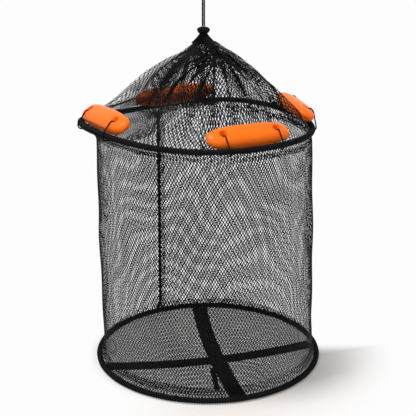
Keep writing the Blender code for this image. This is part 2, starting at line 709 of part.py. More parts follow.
def add_cord(parent):
    """Both ends of the draw cord: mouth bight, knot, two taut strands, knot and hang loop."""
    x, y = HANG_LINE
    half = STRAND_SPACING / 2
    radius = CORD_DIAMETER / 2
    for side, name in ((-1, "draw_strand_left"), (1, "draw_strand_right")):
        levels = np.linspace(STRAND_LEVEL, STRAND_LEVEL + STRAND_LENGTH, 8)
        run = [(x + side * half, y, z) for z in levels]
        add_part(name, poly_curve(name, run, radius, 2, False), BLACK_CORD, parent)

    turn = np.linspace(0.0, math.pi, 21)
    belly = LOOP_WIDTH - CORD_DIAMETER - STRAND_SPACING
    reach = np.cos(turn) * (half + belly * np.sin(turn) ** LOOP_FULLNESS)
    level = LOOP_LEVEL + (LOOP_LENGTH - radius) * np.sin(turn)
    loop = np.stack([x + reach, y + 0 * turn, level], axis=-1)
    add_part("hang_loop", poly_curve("hang_loop", loop.tolist(), radius, 2, False),
             BLACK_CORD, parent)

    mouth_top = HEM_RING_LEVEL + HEM_RING_HEIGHT
    bend = np.linspace(0.0, math.pi, 9)
    bight_low = CROWN_TOP + half
    bight = [(x + half, y, mouth_top)]
    bight += [(x + half * math.cos(a), y, bight_low - half * math.sin(a)) for a in bend]
    bight += [(x - half, y, mouth_top)]
    add_part("mouth_cord", poly_curve("mouth_cord", bight, radius, 2, False), BLACK_CORD, parent)


def add_mouth_hem(parent):
    """The hem of the mouth, gathered round the cord under the knot."""
    low = HEM_RING_LEVEL
    high = low + HEM_RING_HEIGHT
    around = turn_angles(HEM_RUFFLES * RUFFLE_STEPS)
    ruffle = RUFFLE_DEPTH * np.cos(HEM_RUFFLES * around)
    ring = ((HEM_RING_RADIUS * 0.55, high), (HEM_RING_RADIUS * 0.86, high - 0.0016),
            (HEM_RING_RADIUS, (low + high) / 2), (HEM_RING_RADIUS * 0.9, low + 0.001),
            (HEM_RING_RADIUS * 0.7, low), (HEM_RING_BORE, low), (HEM_RING_BORE, high))
    loops = []
    for radius, level in ring:
        share = (radius - HEM_RING_BORE) / (HEM_RING_RADIUS - HEM_RING_BORE)
        loops.append(round_points(around, radius + ruffle * share, HANG_LINE, level))
    rows = np.stack(loops + loops[:1])
    shape = bmesh.new()
    shape.from_mesh(sheet_mesh("mouth_hem", rows))
    bmesh.ops.remove_doubles(shape, verts=shape.verts, dist=0.00001)
    bmesh.ops.recalc_face_normals(shape, faces=shape.faces)
    mesh = bpy.data.meshes.new("mouth_hem")
    shape.to_mesh(mesh)
    shape.free()
    smooth(mesh)
    add_part("mouth_hem", mesh, BLACK_NET, parent)


def lashing_angle():
    """Half the angle at the hoop's middle between a float's two lashings."""
    return math.asin(HOLE_SPACING / 2 / HOOP_RADIUS)


def float_frame(azimuth, lean):
    """Axes of a float: X along it, Z along its width, from the line through its two lashings."""
    middle = azimuth - math.pi / 2
    spread = lashing_angle()
    start = Vector(upper_wire(np.float64(middle - spread)))
    end = Vector(upper_wire(np.float64(middle + spread)))
    along = (end - start).normalized()
    outward = Vector((math.cos(middle), math.sin(middle), 0.0))
    outward = (outward - along * outward.dot(along)).normalized()
    upward = outward.cross(along)
    if upward.z < 0:
        upward = -upward
    width = upward * math.cos(lean) + outward * math.sin(lean)
    face = outward * math.cos(lean) - upward * math.sin(lean)
    matrix = Matrix((along, face * -1.0, width)).transposed().to_4x4()
    if matrix.determinant() < 0:
        matrix = Matrix((along * -1.0, face * -1.0, width)).transposed().to_4x4()
    matrix.translation = (start + end) / 2
    return matrix


def float_body(name):
    """A flat-sided long oval: a sphere whose points follow a rounded box's rule.

    Across the flat outline the power is the squareness, from face to face it is the rounding.
    """
    bpy.ops.mesh.primitive_uv_sphere_add(segments=FLOAT_STEPS, ring_count=FLOAT_ROWS, radius=1.0)
    sphere = bpy.context.object
    mesh = sphere.data.copy()
    bpy.data.objects.remove(sphere, do_unlink=True)
    mesh.name = name
    count = len(mesh.vertices)
    points = np.empty(count * 3, dtype=np.float32)
    mesh.vertices.foreach_get("co", points)
    unit = points.reshape(-1, 3).astype(np.float64)
    flat = np.hypot(unit[:, 0], unit[:, 1])
    turn = np.arctan2(unit[:, 1], unit[:, 0])
    reach = flat ** FLOAT_ROUNDING
    shaped = np.stack([
        FLOAT_LENGTH / 2 * reach * np.sign(np.cos(turn)) * np.abs(np.cos(turn)) ** FLOAT_SQUARENESS,
        -FLOAT_THICKNESS / 2 * np.sign(unit[:, 2]) * np.abs(unit[:, 2]) ** FLOAT_ROUNDING,
        FLOAT_WIDTH / 2 * reach * np.sign(np.sin(turn)) * np.abs(np.sin(turn)) ** FLOAT_SQUARENESS,
    ], axis=-1)
    mesh.vertices.foreach_set("co", shaped.astype(np.float32).reshape(-1))
    mesh.update()
    return mesh


def hole_cutter(name, side, out, parent):
    """A waisted cutter: wide at both faces of the float, narrow in the middle."""
    reach = FLOAT_THICKNESS / 2 + 0.001
    profile = bpy.data.meshes.new(name)
    spots = [(0.0, 0.0, reach), (HOLE_MOUTH / 2, 0.0, reach), (HOLE_WAIST / 2, 0.0, 0.0),
             (HOLE_MOUTH / 2, 0.0, -reach), (0.0, 0.0, -reach)]
    profile.from_pydata(spots, [(0, 1), (1, 2), (2, 3), (3, 4)], [])
    cutter = add_guide(name, profile, parent)
    cutter.location = (side * HOLE_SPACING / 2, -out, FLOAT_RISE)
    cutter.rotation_euler = (math.pi / 2, math.pi / HOLE_STEPS, 0.0)
    screw = cutter.modifiers.new("turn", "SCREW")
    screw.steps = HOLE_STEPS
    screw.render_steps = HOLE_STEPS
    screw.use_merge_vertices = True
    screw.merge_threshold = 0.00005
    return cutter


def half_thickness(across):
    """From the float's middle to its face, in line with a hole, by the float's own rule."""
    power = 2 / FLOAT_SQUARENESS
    along = HOLE_SPACING / FLOAT_LENGTH
    reach = (along ** power + abs(2 * across / FLOAT_WIDTH) ** power) ** (1 / power)
    flat = min(reach ** (1 / FLOAT_ROUNDING), 1.0)
    return FLOAT_THICKNESS / 2 * (1 - flat ** 2) ** (FLOAT_ROUNDING / 2)


def taut_round(spots):
    """The spots that a line drawn tight round them all touches, in order round them."""
    ordered = sorted(set(spots))
    sides = []
    for run in (ordered, ordered[::-1]):
        side = []
        for spot in run:
            while len(side) > 1 and turns_back(side[-2], side[-1], spot):
                side.pop()
            side.append(spot)
        sides.append(side[:-1])
    return sides[0] + sides[1]


def turns_back(first, second, third):
    """Whether the way from first to third by second doesn't turn left."""
    ahead = (second[0] - first[0]) * (third[1] - first[1])
    return ahead <= (second[1] - first[1]) * (third[0] - first[0])


def lashing_route(out):
    """Points of a lashing as (off the face, along the width), from the hoop's middle.

    It comes out of the hole on both faces and is drawn tight round the float's edge and the
    hoop: the line that a thread would take round both, a clear distance off them.
    """
    clear = SLIP + LASHING_DIAMETER / 2
    round_hoop = BINDING_DIAMETER / 2 + clear
    lip = half_thickness(LASHING_LIP) + clear + LIP_CLEARANCE
    outer_lip = (out + lip, FLOAT_RISE - LASHING_LIP)
    spots = [(round_hoop * math.cos(a), round_hoop * math.sin(a)) for a in turn_angles(LASHING_STEPS)]
    spots += [outer_lip, (out - lip, FLOAT_RISE - LASHING_LIP)]
    inside_hole = []
    for way in (1, -1):
        for across in np.linspace(LASHING_LIP, LASHING_EDGE * FLOAT_WIDTH / 2, 6)[1:]:
            spots.append((out + way * (half_thickness(across) + clear), FLOAT_RISE - across))
        inside_hole.append((out + way * LASHING_IN_HOLE * half_thickness(0.0),
                            FLOAT_RISE - (HOLE_MOUTH - HOLE_WAIST) / 4))
    around = taut_round(spots)
    start = around.index(outer_lip)
    around = around[start:] + around[:start]
    loop = [inside_hole[0]] + around[:1] + around[:0:-1] + [inside_hole[1], (out, FLOAT_RISE)]
    return np.array(loop)


def mesh_way(name, points, frame, sheets):
    """Opens a mesh of the netting where a lashing goes through it."""
    obj = add_guide(name, poly_curve(name, points, LASHING_DIAMETER / 2 + SLIP, 1, True), frame)
    mesh = mesh_of(obj)
    bpy.data.objects.remove(obj, do_unlink=True)
    cutter = add_guide(name, mesh, frame)
    for sheet in sheets:
        cut = sheet.modifiers.new(name, "BOOLEAN")
        cut.operation = "DIFFERENCE"
        cut.solver = "EXACT"
        cut.object = cutter


def add_float(name, azimuth, lean, out, parent, sheets):
    """One float on the line through its lashings, with its two holes and two lashings."""
    frame = add_frame("float_" + name + "_axis", float_frame(azimuth, lean), parent)
    body = add_part("float_" + name, float_body("float_" + name), ORANGE_FLOAT, frame)
    body.location = (0.0, -out, FLOAT_RISE)
    for side, tag in ((-1, "a"), (1, "b")):
        cutter = hole_cutter("hole_" + name + "_" + tag, side, out, frame)
        cut = body.modifiers.new("hole_" + tag, "BOOLEAN")
        cut.operation = "DIFFERENCE"
        cut.solver = "EXACT"
        cut.object = cutter
        points = [(side * HOLE_SPACING / 2, -off, along) for off, along in lashing_route(out)]
        tie = "lashing_" + name + "_" + tag
        add_part(tie, poly_curve(tie, points, LASHING_DIAMETER / 2, 1, True), BLACK_CORD, frame)
        mesh_way("mesh_way_" + name + "_" + tag, points, frame, sheets)
    smooth(body.data)


def build_net():
    """Puts the net together, body by body."""
    base = add_frame("net_base", Matrix.Translation((-HANG_LINE[0], -HANG_LINE[1], -HANG_HEIGHT)), None)
    upper = add_frame("upper_ring_slide", Matrix.Identity(4), base)
    lower_ring = add_frame("lower_ring_slide", Matrix.Identity(4), base)
    for name, place, turn, parent in (("upper", spring, SLIT_TURN, upper),
                                      ("lower", lower, -SLIT_TURN, lower_ring)):
        add_hoop(name, place, parent)
        add_hoop_sleeve(name, place, turn, parent)
        add_binding(name, place, turn, parent)
    wall = add_wall(upper)
    add_seam(upper)
    add_hems(upper, lower_ring)
    add_base_netting(lower_ring)
    add_straps(lower_ring)
    crown = add_crown(base)
    add_mouth_hem(base)
    add_knot("apex_knot", APEX_KNOT_LEVEL, 1.0, base)
    add_knot("top_knot", TOP_KNOT_LEVEL, TOP_KNOT_SCALE, base)
    add_cord(base)
    for name, azimuth, lean, out in FLOATS:
        add_float(name, azimuth, lean, out, upper, (wall, crown))
    bpy.context.view_layer.update()


clear_scene()
PARTS = new_collection(OBJECT_NAME)
CUTTERS = new_collection(OBJECT_NAME + "_cutters")
build_net()
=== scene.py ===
import json
import math

import bmesh
import bpy
import numpy as np
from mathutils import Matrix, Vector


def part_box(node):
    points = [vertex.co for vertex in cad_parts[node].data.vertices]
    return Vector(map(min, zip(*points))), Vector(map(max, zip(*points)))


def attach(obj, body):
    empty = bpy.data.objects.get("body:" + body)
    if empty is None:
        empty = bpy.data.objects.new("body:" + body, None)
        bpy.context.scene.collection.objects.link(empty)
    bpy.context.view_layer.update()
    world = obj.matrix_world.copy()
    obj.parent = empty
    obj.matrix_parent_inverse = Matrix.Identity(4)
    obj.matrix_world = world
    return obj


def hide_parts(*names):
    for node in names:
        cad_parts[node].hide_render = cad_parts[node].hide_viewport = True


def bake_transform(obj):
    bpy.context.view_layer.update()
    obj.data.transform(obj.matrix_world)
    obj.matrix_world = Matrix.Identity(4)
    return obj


# Floating keep net, dressed: knotless netting made of its real strands, whipped hoops, webbing
# straps, laid cords with their knots, and moulded floats on their lashings.
#
# Metres, +Z up, the origin at the top of the hang loop. Where a heading says "as in the solids",
# part.py has the same values.

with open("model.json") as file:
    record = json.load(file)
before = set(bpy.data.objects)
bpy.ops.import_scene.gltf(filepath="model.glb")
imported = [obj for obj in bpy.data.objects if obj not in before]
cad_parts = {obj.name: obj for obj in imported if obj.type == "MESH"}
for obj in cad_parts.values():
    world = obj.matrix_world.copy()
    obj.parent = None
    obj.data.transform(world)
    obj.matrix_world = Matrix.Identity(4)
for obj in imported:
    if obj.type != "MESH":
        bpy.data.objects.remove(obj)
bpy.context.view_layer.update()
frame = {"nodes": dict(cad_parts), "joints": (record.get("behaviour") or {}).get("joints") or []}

# Places read from the frame
LOWER_LOW, LOWER_HIGH = (np.array(corner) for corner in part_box("lower_hoop"))
LOWER_MIDDLE = (LOWER_LOW + LOWER_HIGH) / 2
FLOOR_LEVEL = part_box("base_strap_cross")[0].z

# Hoops, as in the solids
HOOP_RADIUS = 0.195
HOOP_SPACING = 0.4147
UPPER_SHIFT = (-0.0191, 0.0076)
UPPER_LEAN = (-0.0149, -0.0189)
UPPER_SADDLE = 0.0058
UPPER_WAVE = 0.0037
UPPER_WAVE_AT = math.radians(51)
BINDING_DIAMETER = 0.0104
UPPER_LEVEL = LOWER_MIDDLE[2] + HOOP_SPACING

# Whipping over the hoops
RIB_COUNT = 300               # turns of the whipping round a hoop
RIB_DEPTH = 0.0016
RIB_SLANT = 2                 # ribs that a turn round the section crosses
RIB_STEPS = 5                 # rings of points for each rib
WHIPPING_SIDES = 14
WHIPPING_SWELL = 0.02         # share by which it is thicker here and there
WHIPPING_SWELLS = 23          # such places round the hoop
WHIPPING_SWELL_SLANT = 2

# What hangs or winds unevenly: sums of waves. Each has its height, its waves for each radian or
# for each unit of the ways it runs, and its phase.
RIB_DRIFT = ((0.35, (7,), 0.0), (0.25, (19,), 1.3))                # round the hoop
WALL_DRIFT = ((0.012, (3, 5), 0.0), (0.0072, (8, -9), 1.0))        # round the wall and down it
WALL_BILLOW = ((0.0011, (11, 7), 0.0), (0.0008, (5, 21), 0.0))
WALL_SAG = ((0.0016, (6, 14), 0.0), (0.0016, (13, -5), 0.0))
FOLD_LAG = ((0.30, (3,), 0.6), (0.20, (4,), -1.1))                 # round the crown
BASE_DRIFT = ((0.0016, (0, 38), 0.6), (0.0011, (60, 21), 0.0))     # across the base and along it
GATHERS_LEAN = ((2.0, (3, 0), 0.0), (1.4, (0, 7), 0.0))            # round the gathers and up them

# Netting: zigzag chains that meet their neighbours in short joins
WALL_CHAINS = 448             # chains round the wall, two for each column of holes
CELL_HEIGHT = 0.0090          # one full zigzag
JOIN_SHARE = 0.34             # share of a half zigzag that runs along the neighbour
STRAND_WIDTH = 0.00122
STRAND_THICKNESS = 0.00036
CROWN_CHAINS = 316            # the crown's netting is coarser
CROWN_CELL_HEIGHT = 0.0104
CROWN_STRAND_WIDTH = 0.00156
WALL_PANELS = 4
CROWN_PANELS = 2
BASE_CLEAR = 0.0001           # between the base netting and what it lies on
BASE_TRIM = 0.0004            # from a chain's last point to the hoop

# Wall, as in the solids
WALL_INSET = 0.0025
WALL_EDGE_DROP = 0.0036
WALL_TOP_DRAW = 0.0124
WALL_BOTTOM_DRAW = 0.0084
WALL_TOP_SHIFT = (-0.0063, 0.0030)
WALL_FUNNEL = 0.026
WALL_FLARE = 0.020
WALL_LENGTH = HOOP_SPACING - 2 * WALL_EDGE_DROP
SEAM_TOP_AT = math.radians(116)
SEAM_BOTTOM_AT = math.radians(121.5)

# Hems: which hoop, from and to where on the wall's way, how far inside the wall, and how far
# their columns are from the wall's, of half a column
HEMS = (
    ("upper", 0.25, 0.70, 0.0013, 0.0),
    ("lower", 2.20, 2.90, 0.0016, 1.0),
)

# Seam: core cords, the lace round them, and the lap of netting beside them
SEAM_STEPS = 900
SEAM_SPAN = (0.012, 0.990)    # of the wall's height
SEAM_OFF_WALL = 0.0016
SEAM_CORES = (-0.0019, 0.0, 0.0019)
SEAM_CORE_RADIUS = 0.00105
SEAM_CORE_TWISTS = 90
LACE_RADIUS = 0.0005
LACE_TURNS = 80
LACE_ACROSS = 0.0034
LACE_OFF = 0.0014
LAP_CHAINS = 3
LAP_START = 0.0040            # from the seam's middle to its first chain
LAP_PITCH = 0.0024
LAP_SWAY = 0.0011
LAP_CELLS = 0.56              # zigzags for each turn of the lace
LAP_DEPTH = 0.0030            # inside the core cords

# Crown, as in the solids
NET_INSET = 0.0038
CROWN_EDGE_RISE = 0.0020
CROWN_NECK_RADIUS = 0.0058
CROWN_HEIGHT = 0.1393
CROWN_ROUNDING = 0.14
CROWN_FOLDS = 10
CROWN_TOP = UPPER_LEVEL + CROWN_HEIGHT
DIP_START = 0.0085            # from the hoop to where the netting lies under a float
DIP_DEPTH = 0.0068
DIP_REACH = 0.026
FULLNESS_AT = math.radians(10)
NECK_START = 0.80
NECK_MIDDLE = 0.93
FOLD_SHIFT = 1.763            # brings a fold's crest to each side of the crown's outline

# Crown, fitted to the photo after the solids; shares run from 0 at the hoop to 1 at the neck
DIP_FADE = 0.35               # share up to which a float holds the netting down
DIP_FLANK = 0.16              # how far the dip reaches past a float's end, of its half length
SLACK_FLANK = 0.35            # and past the float that stands off its lashings
FULLNESS_LEFT = -0.0022
FULLNESS_RIGHT = 0.0040
FULLNESS_START = 0.14
FULLNESS_END = 0.10           # the last share before the neck, where it ends
NECK_LIFT = 0.0046
BELLY = 0.0102                # how far the crown's upper part stands over its even shape
BELLY_START = 0.20
BELLY_FULL = 0.56
BELLY_END = 0.32
BULGE = 0.0140                # where the netting swells out beside the slack float
BULGE_AT = math.radians(-20)
BULGE_REACH = math.radians(12)
BULGE_LEAN = (0.8, 0.6)       # outwards and upwards
BULGE_START = 0.15
BULGE_TOP = 0.70
BULGE_FADE = 0.50
CORNER_AT = (math.radians(176), math.radians(8))   # where the crown is drawn out to a blunt corner
CORNER_SPREAD = (math.radians(47), math.radians(28))   # how far its flat sides reach
CORNER_START = (0.04, 0.36)
CORNER_RETURN = 0.9           # how fast it is round again, of its flat side
CORNER_RISE = 0.25
CORNER_END = 0.15
CROWN_SQUEEZE = 0.18          # how much narrower its columns get before they fold
SQUEEZE_FULL = 0.40
FOLD_LAY = 0.16               # how far a fold stands up, of its own depth
FOLD_LEAN = (0.6, 0.8)        # outwards and upwards
FOLD_START = 0.15
FINE_FOLDS = 0.30             # the small folds between the main ones, of their swing
FINE_COUNT = 3                # small folds for each main one
FINE_START = 0.30
FINE_FADE = 0.50
NECK_FULLNESS = -0.10         # change of the folds' height at the neck
NECK_FULLNESS_START = 0.75
NECK_FULLNESS_FADE = 0.20
WIDEST_SWING = 2.38           # radians, at which a fold covers almost none of its width
CALM_AT = (math.radians(10), math.radians(184))   # sides where the netting hangs without folds
CALM_REACH = math.radians(38)
CALM = 0.85
CALM_STRETCH = 0.12           # how much wider than slack its columns are pulled there
STRETCH_FULL = 0.30
LEAST_COVER = 0.04            # folded cloth never covers less of its width
CLOTH_EASE = 1.01             # length of the crown's cloth, of its straight slope

# Straps, as in the solids
STRAP_WIDTH = 0.0285
STRAP_THICKNESS = 0.0012
FIT = 0.0003
CROSS_STRAP_BOW = (-0.042, 0.24, 0.70)
LONG_STRAP_BOW = (0.0085, -0.189, 0.30)
TAIL_LENGTH = 0.080
TAIL_WIDTH = 0.009
TAIL_REACH = 0.125            # from the front of the hoop to the tail's start
TAIL_ASIDE = 0.0158
TAIL_TURN = math.radians(-84)

# The straps' finish
STRAP_END = 0.0045            # from the hoop's wire to a strap's end
STRAP_STEP = 0.004
STRAP_COLUMNS = 31
SELVEDGE = 0.05               # share of the half width over which an edge is rounded
SELVEDGE_LEFT = 0.45          # share of the height that is left at the edge
WEB_RIBS = 7.5
WEB_RIB_DEPTH = 0.00012
STRAP_EDGE = math.radians(40)

# Cord and knots, as in the solids
CORD_DIAMETER = 0.0026
STRAND_SPACING = 0.0029
LOOP_WIDTH = 0.021
LOOP_FULLNESS = 1.2

# How the cord is laid, its knots tied and the hem gathered
CORD_PLIES = 3
CORD_LAY = 0.0075             # length of one turn of the plies
CORD_SIDES = 12
PLY_SWELL = 0.06              # share by which a ply stands out
CORD_STEP = 0.0006
STRAND_END = 0.0005           # the strands stop this far below the loop's first point
KNOT_CORE = np.array([0.90, 0.90, 1.12])      # the core's half sizes, of the knot's
KNOT_SQUARENESS = 0.6
TOP_KNOT_RADIUS = 0.00205     # of the cord drawn tight in the knot
APEX_KNOT_RADIUS = 0.0025
GATHERS_TOP = 0.0054          # radius of the gathered hem under the knot
GATHERS_BOTTOM = 0.0178       # and where it spreads into the crown
GATHERS_SPREAD = 1.2          # power by which it spreads
GATHERS_DROP = 0.0035         # how far it reaches below the hem's solid
GATHERS_RISE = 0.0012         # and above it, round the knot's underside
GATHERS_COUNT = 22            # folds round it
GATHERS_FOLD = (0.0010, 0.0016)   # depth of its folds at the top, and what is added at the bottom
GATHERS_BEAD = 0.0008         # height of the joins bunched in it
GATHERS_BEADS = (38, 31)      # joins round it and how they slant
GATHERS_BEAD_ROWS = 44
GATHERS_BORE = 0.0034

# Floats, as in the solids
FLOAT_LENGTH = 0.146
FLOAT_WIDTH = 0.040
FLOAT_THICKNESS = 0.027
FLOAT_SQUARENESS = 0.65
FLOAT_ROUNDING = 0.8
FLOAT_RISE = 0.0264
FLOAT_OUT = 0.0020
SLACK_FLOAT_OUT = 0.0150
SLACK_DIP = 0.72              # length of the dip under that float, of the usual one
HOLE_SPACING = 0.0960
HOLE_WAIST = 0.0060
LASHING_DIAMETER = 0.0022
LASHING_LIP = 0.0060          # from the hole's middle to where the lashing leaves it
LASHING_EDGE = 0.9            # share of the float's half width to which it follows the face
SLIP = 0.0007
# name, azimuth from the front towards the right, lean from upright towards the outside, and
# how far the float stands off its lashings' line
FLOATS = (
    ("front", math.radians(29), math.radians(-58), FLOAT_OUT),
    ("right", math.radians(102), math.radians(-62), SLACK_FLOAT_OUT),
    ("back", math.radians(194), math.radians(-44), FLOAT_OUT),
    ("left", math.radians(-60), math.radians(-58), FLOAT_OUT),
)

# The floats' finish and the lashings' run
PARTING_LINE = 0.010          # share by which it stands out
PARTING_WIDTH = 0.05
HOLE_WIDE = 0.0162            # the rounded mouth, where it leaves the float's face
HOLE_FLARE = 1.2              # power by which it opens
HOLE_LIP = 0.0012             # added in the last stretch before the face
HOLE_LIP_START = 0.80
CUT_PAST = 0.001              # how far the cutter reaches past the face
HOLE_EDGE = math.radians(50)
FACE_CLEAR = SLIP * 0.3       # between a lashing and the float's face
LASHING_STEPS = 32            # round the hoop
EDGE_STEPS = 12               # along a face
# inside the hole: share of the way to the face, and how far below the hole's middle
LASHING_IN_HOLE = ((0.45, 0.0012), (0.80, 0.0030))
LASHING_POINTS = 160
LASHING_ROUNDINGS = 3
LASHING_SIDES = 10
LASHING_PLIES = 2
LASHING_SWELL = 0.08
LASHING_TWISTS = 22

# Camera
CAMERA_PLACE = (0.0075, -1.6488, 0.1142)
CAMERA_PITCH = 0.3126         # down from level
CAMERA_LENS = 86.54           # on a 36 mm sensor
SENSOR_WIDTH = 36.0

# Lamps: place, size and power; both look at the net's middle
NET_MIDDLE = (0.0, 0.0, -0.35)
KEY_LAMP = ((-0.57, -0.30, 1.65), 0.40, 33.0)
KEY_COLOUR = (1.0, 0.985, 0.96)
FRONT_LAMP = ((0.9, -2.2, 0.9), 1.2, 10.0)
PLAIN_WHITE = (1.0, 1.0, 1.0)
SKY = 0.52                    # strength of the soft light from all round
SKY_COLOUR = (0.95, 0.97, 1.0)
BACKGROUND = (0.98, 0.98, 0.98)

# Floor
FLOOR_SIZE = 30.0
FLOOR_PAINT = (0.91, 0.860, 0.832)
FLOOR_FADE = (0.205, 0.35)    # from the net's axis, where painted white light covers the floor, its shadow too
FLOOR_RIM = (0.19, 0.21)      # the hoop's edge on the floor
FLOOR_PAINTED_LIGHT_FROM = -0.02      # painted light covers the floor's shadow behind this line and the hoop
FLOOR_PAINTED_LIGHT_BEHIND = 0.03
FLOOR_PAINTED_LIGHT_LEFT = -0.14      # and painted light covers it to the left of this line, away from the shadow
FLOOR_SHADE_FROM = 0.02
FLOOR_PAINTED_GLOW = 0.40             # painted glow: how brightly the floor under the net shines through it


# Small helpers

def ease(t):
    """A smooth step from 0 to 1."""
    t = np.clip(t, 0.0, 1.0)
    return t * t * (3.0 - 2.0 * t)


def unit(vectors):
    """The same directions, one long."""
    length = np.linalg.norm(vectors, axis=-1, keepdims=True)
    return vectors / np.maximum(length, 1e-12)


def waves(terms, *places):
    """A sum of sines for what is never quite even: each term's height times the sine of its
    phase plus its waves for each place times that place."""
    total = 0.0
    for height, counts, phase in terms:
        turn = phase
        for count, place in zip(counts, places):
            turn = turn + count * place
        total = total + height * np.sin(turn)
    return total


def angle_between(angle, other):
    """How far an angle is from another, either way round."""
    return np.abs((angle - other + math.pi) % (2 * math.pi) - math.pi)


def run_along(points):
    """Length of the line through the points, up to each of them."""
    return np.concatenate([[0.0], np.cumsum(np.linalg.norm(np.diff(points, axis=0), axis=1))])


def place_object(name, data):
    """A new object in the scene, at the origin."""
    obj = bpy.data.objects.new(name, data)
    bpy.context.scene.collection.objects.link(obj)
    return obj


def new_mesh(name, points, quads, triangles=None, marks=None):
    """A mesh from whole arrays; marks gives each corner of each face its place on the UV map."""
    triangles = np.zeros((0, 3), int) if triangles is None else triangles
    mesh = bpy.data.meshes.new(name)
    mesh.vertices.add(len(points))
    mesh.vertices.foreach_set("co", np.ascontiguousarray(points, np.float32).reshape(-1))
    corners = np.concatenate([quads.reshape(-1), triangles.reshape(-1)]).astype(np.int32)
    starts = np.concatenate([np.arange(len(quads)) * 4,
                             len(quads) * 4 + np.arange(len(triangles)) * 3]).astype(np.int32)
    mesh.loops.add(len(corners))
    mesh.loops.foreach_set("vertex_index", corners)
    mesh.polygons.add(len(starts))
    mesh.polygons.foreach_set("loop_start", starts)
    mesh.update(calc_edges=True)
    if marks is not None:
        layer = mesh.uv_layers.new(name="along")
        layer.data.foreach_set("uv", np.ascontiguousarray(marks, np.float32).reshape(-1))
    mesh.polygons.foreach_set("use_smooth", np.ones(len(starts), bool))
    return mesh


def add_piece(name, mesh, material, slot, *replaced):
    """Puts a mesh in the scene as a piece that stands for CAD nodes."""
    obj = place_object(name, mesh)
    mesh.materials.clear()
    mesh.materials.append(material)
    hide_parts(*replaced)
    return obj


def sweep_arrays(path, lift, section, closed=False):
    """Tubes along many paths at once.

    path is [tubes, steps, 3]; lift, of the same shape, points off the sheet or surface that the
    tube lies on; section is [..., sides, 2], across and off the sheet, in metres. Each ring of
    points is the path's point plus the section laid square to the path. Open tubes are capped.
    Returns points, quads, triangles and the UV places (length along, share round).
    """
    tubes, steps = path.shape[:2]
    sides = section.shape[-2]
    if closed:
        ahead = np.roll(path, -1, axis=1) - np.roll(path, 1, axis=1)
    else:
        ahead = np.gradient(path, axis=1)
    ahead = unit(ahead)
    across = unit(np.cross(ahead, lift))
    off = np.cross(across, ahead)
    rings = (path[:, :, None] + across[:, :, None] * section[..., :1]
             + off[:, :, None] * section[..., 1:])
    points = rings.reshape(-1, 3)
    spans = steps if closed else steps - 1
    tube, step, side = np.meshgrid(np.arange(tubes), np.arange(spans), np.arange(sides),
                                   indexing="ij")
    start = tube * steps * sides
    here = start + step * sides
    there = start + ((step + 1) % steps) * sides
    side_next = (side + 1) % sides
    quads = np.stack([here + side, there + side, there + side_next, here + side_next], axis=-1)
    gap = np.linalg.norm(np.diff(path, axis=1, append=path[:, :1]), axis=-1)
    run = np.concatenate([np.zeros((tubes, 1)), np.cumsum(gap, axis=1)], axis=1)
    near, far = run[tube, step], run[tube, step + 1]
    low, high = side / sides, (side + 1) / sides
    marks = np.stack([np.stack([near, low], -1), np.stack([far, low], -1),
                      np.stack([far, high], -1), np.stack([near, high], -1)], axis=-2)
    marks = marks.reshape(-1, 2)
    triangles = np.zeros((0, 3), int)
    if not closed:
        spoke = np.arange(1, sides - 1)
        first = np.arange(tubes)[:, None] * steps * sides
        last = first + (steps - 1) * sides
        head = np.stack([first + 0 * spoke, first + spoke, first + spoke + 1], axis=-1)
        tail = np.stack([last + 0 * spoke, last + spoke + 1, last + spoke], axis=-1)
        triangles = np.concatenate([head.reshape(-1, 3), tail.reshape(-1, 3)])
        marks = np.concatenate([marks, np.zeros((len(triangles) * 3, 2))])
    return points, quads.reshape(-1, 4), triangles, marks


def join_arrays(parts):
    """Several sweeps' arrays as one."""
    points, quads, triangles, quad_marks, triangle_marks = [], [], [], [], []
    count = 0
    for part_points, part_quads, part_triangles, marks in parts:
        points.append(part_points)
        quads.append(part_quads + count)
        triangles.append(part_triangles + count)
        quad_marks.append(marks[:len(part_quads) * 4])
        triangle_marks.append(marks[len(part_quads) * 4:])
        count += len(part_points)
    marks = np.concatenate(quad_marks + triangle_marks)
    return np.concatenate(points), np.concatenate(quads), np.concatenate(triangles), marks


def full_turn(count):
    """Angles at even steps round a circle, from 0."""
    return np.arange(count) * (2 * math.pi / count)


def circle(angle):
    """The points of a circle of radius 1."""
    return np.stack([np.cos(angle), np.sin(angle)], axis=-1)


def round_section(radius, sides, lobes=0, depth=0.0, turn=None):
    """A round section whose radius swells in lobes; turn, one value for each step, twists it."""
    angle = full_turn(sides)
    turn = np.zeros(1) if turn is None else turn
    swell = 1 + depth * np.cos(lobes * (angle[None] - turn[:, None]))
    return radius * swell[..., None] * circle(angle)[None]


def grid_faces(rows, columns, wrap_rows=False, wrap_columns=False):
    """Quads of a grid of points, which may close on itself either way."""
    row, column = np.meshgrid(np.arange(rows - (not wrap_rows)),
                              np.arange(columns - (not wrap_columns)), indexing="ij")
    row_next = (row + 1) % rows
    column_next = (column + 1) % columns
    corners = [row * columns + column, row_next * columns + column,
               row_next * columns + column_next, row * columns + column_next]
    return np.stack(corners, axis=-1).reshape(-1, 4)


def fan(pole, first, turns, forward):
    """Triangles from a pole to the ring of points that starts at first."""
    ring = np.arange(turns)
    near, far = first + ring, first + (ring + 1) % turns
    if not forward:
        near, far = far, near
    return np.stack([np.full(turns, pole), near, far], axis=-1)


# Shader nodes

def add_node(tree, kind, inputs=None, **settings):
    """A node with its settings; an input is linked if it is given a socket, else set."""
    node = tree.nodes.new(kind)
    for key, value in settings.items():
        setattr(node, key, value)
    for key, value in (inputs or {}).items():
        if isinstance(value, bpy.types.NodeSocket):
            tree.links.new(value, node.inputs[key])
        else:
            node.inputs[key].default_value = value
    return node


def maths(tree, operation, first, second=0.0, third=0.0):
    """The result of a Math node."""
    node = add_node(tree, "ShaderNodeMath", {0: first, 1: second, 2: third}, operation=operation)
    return node.outputs[0]


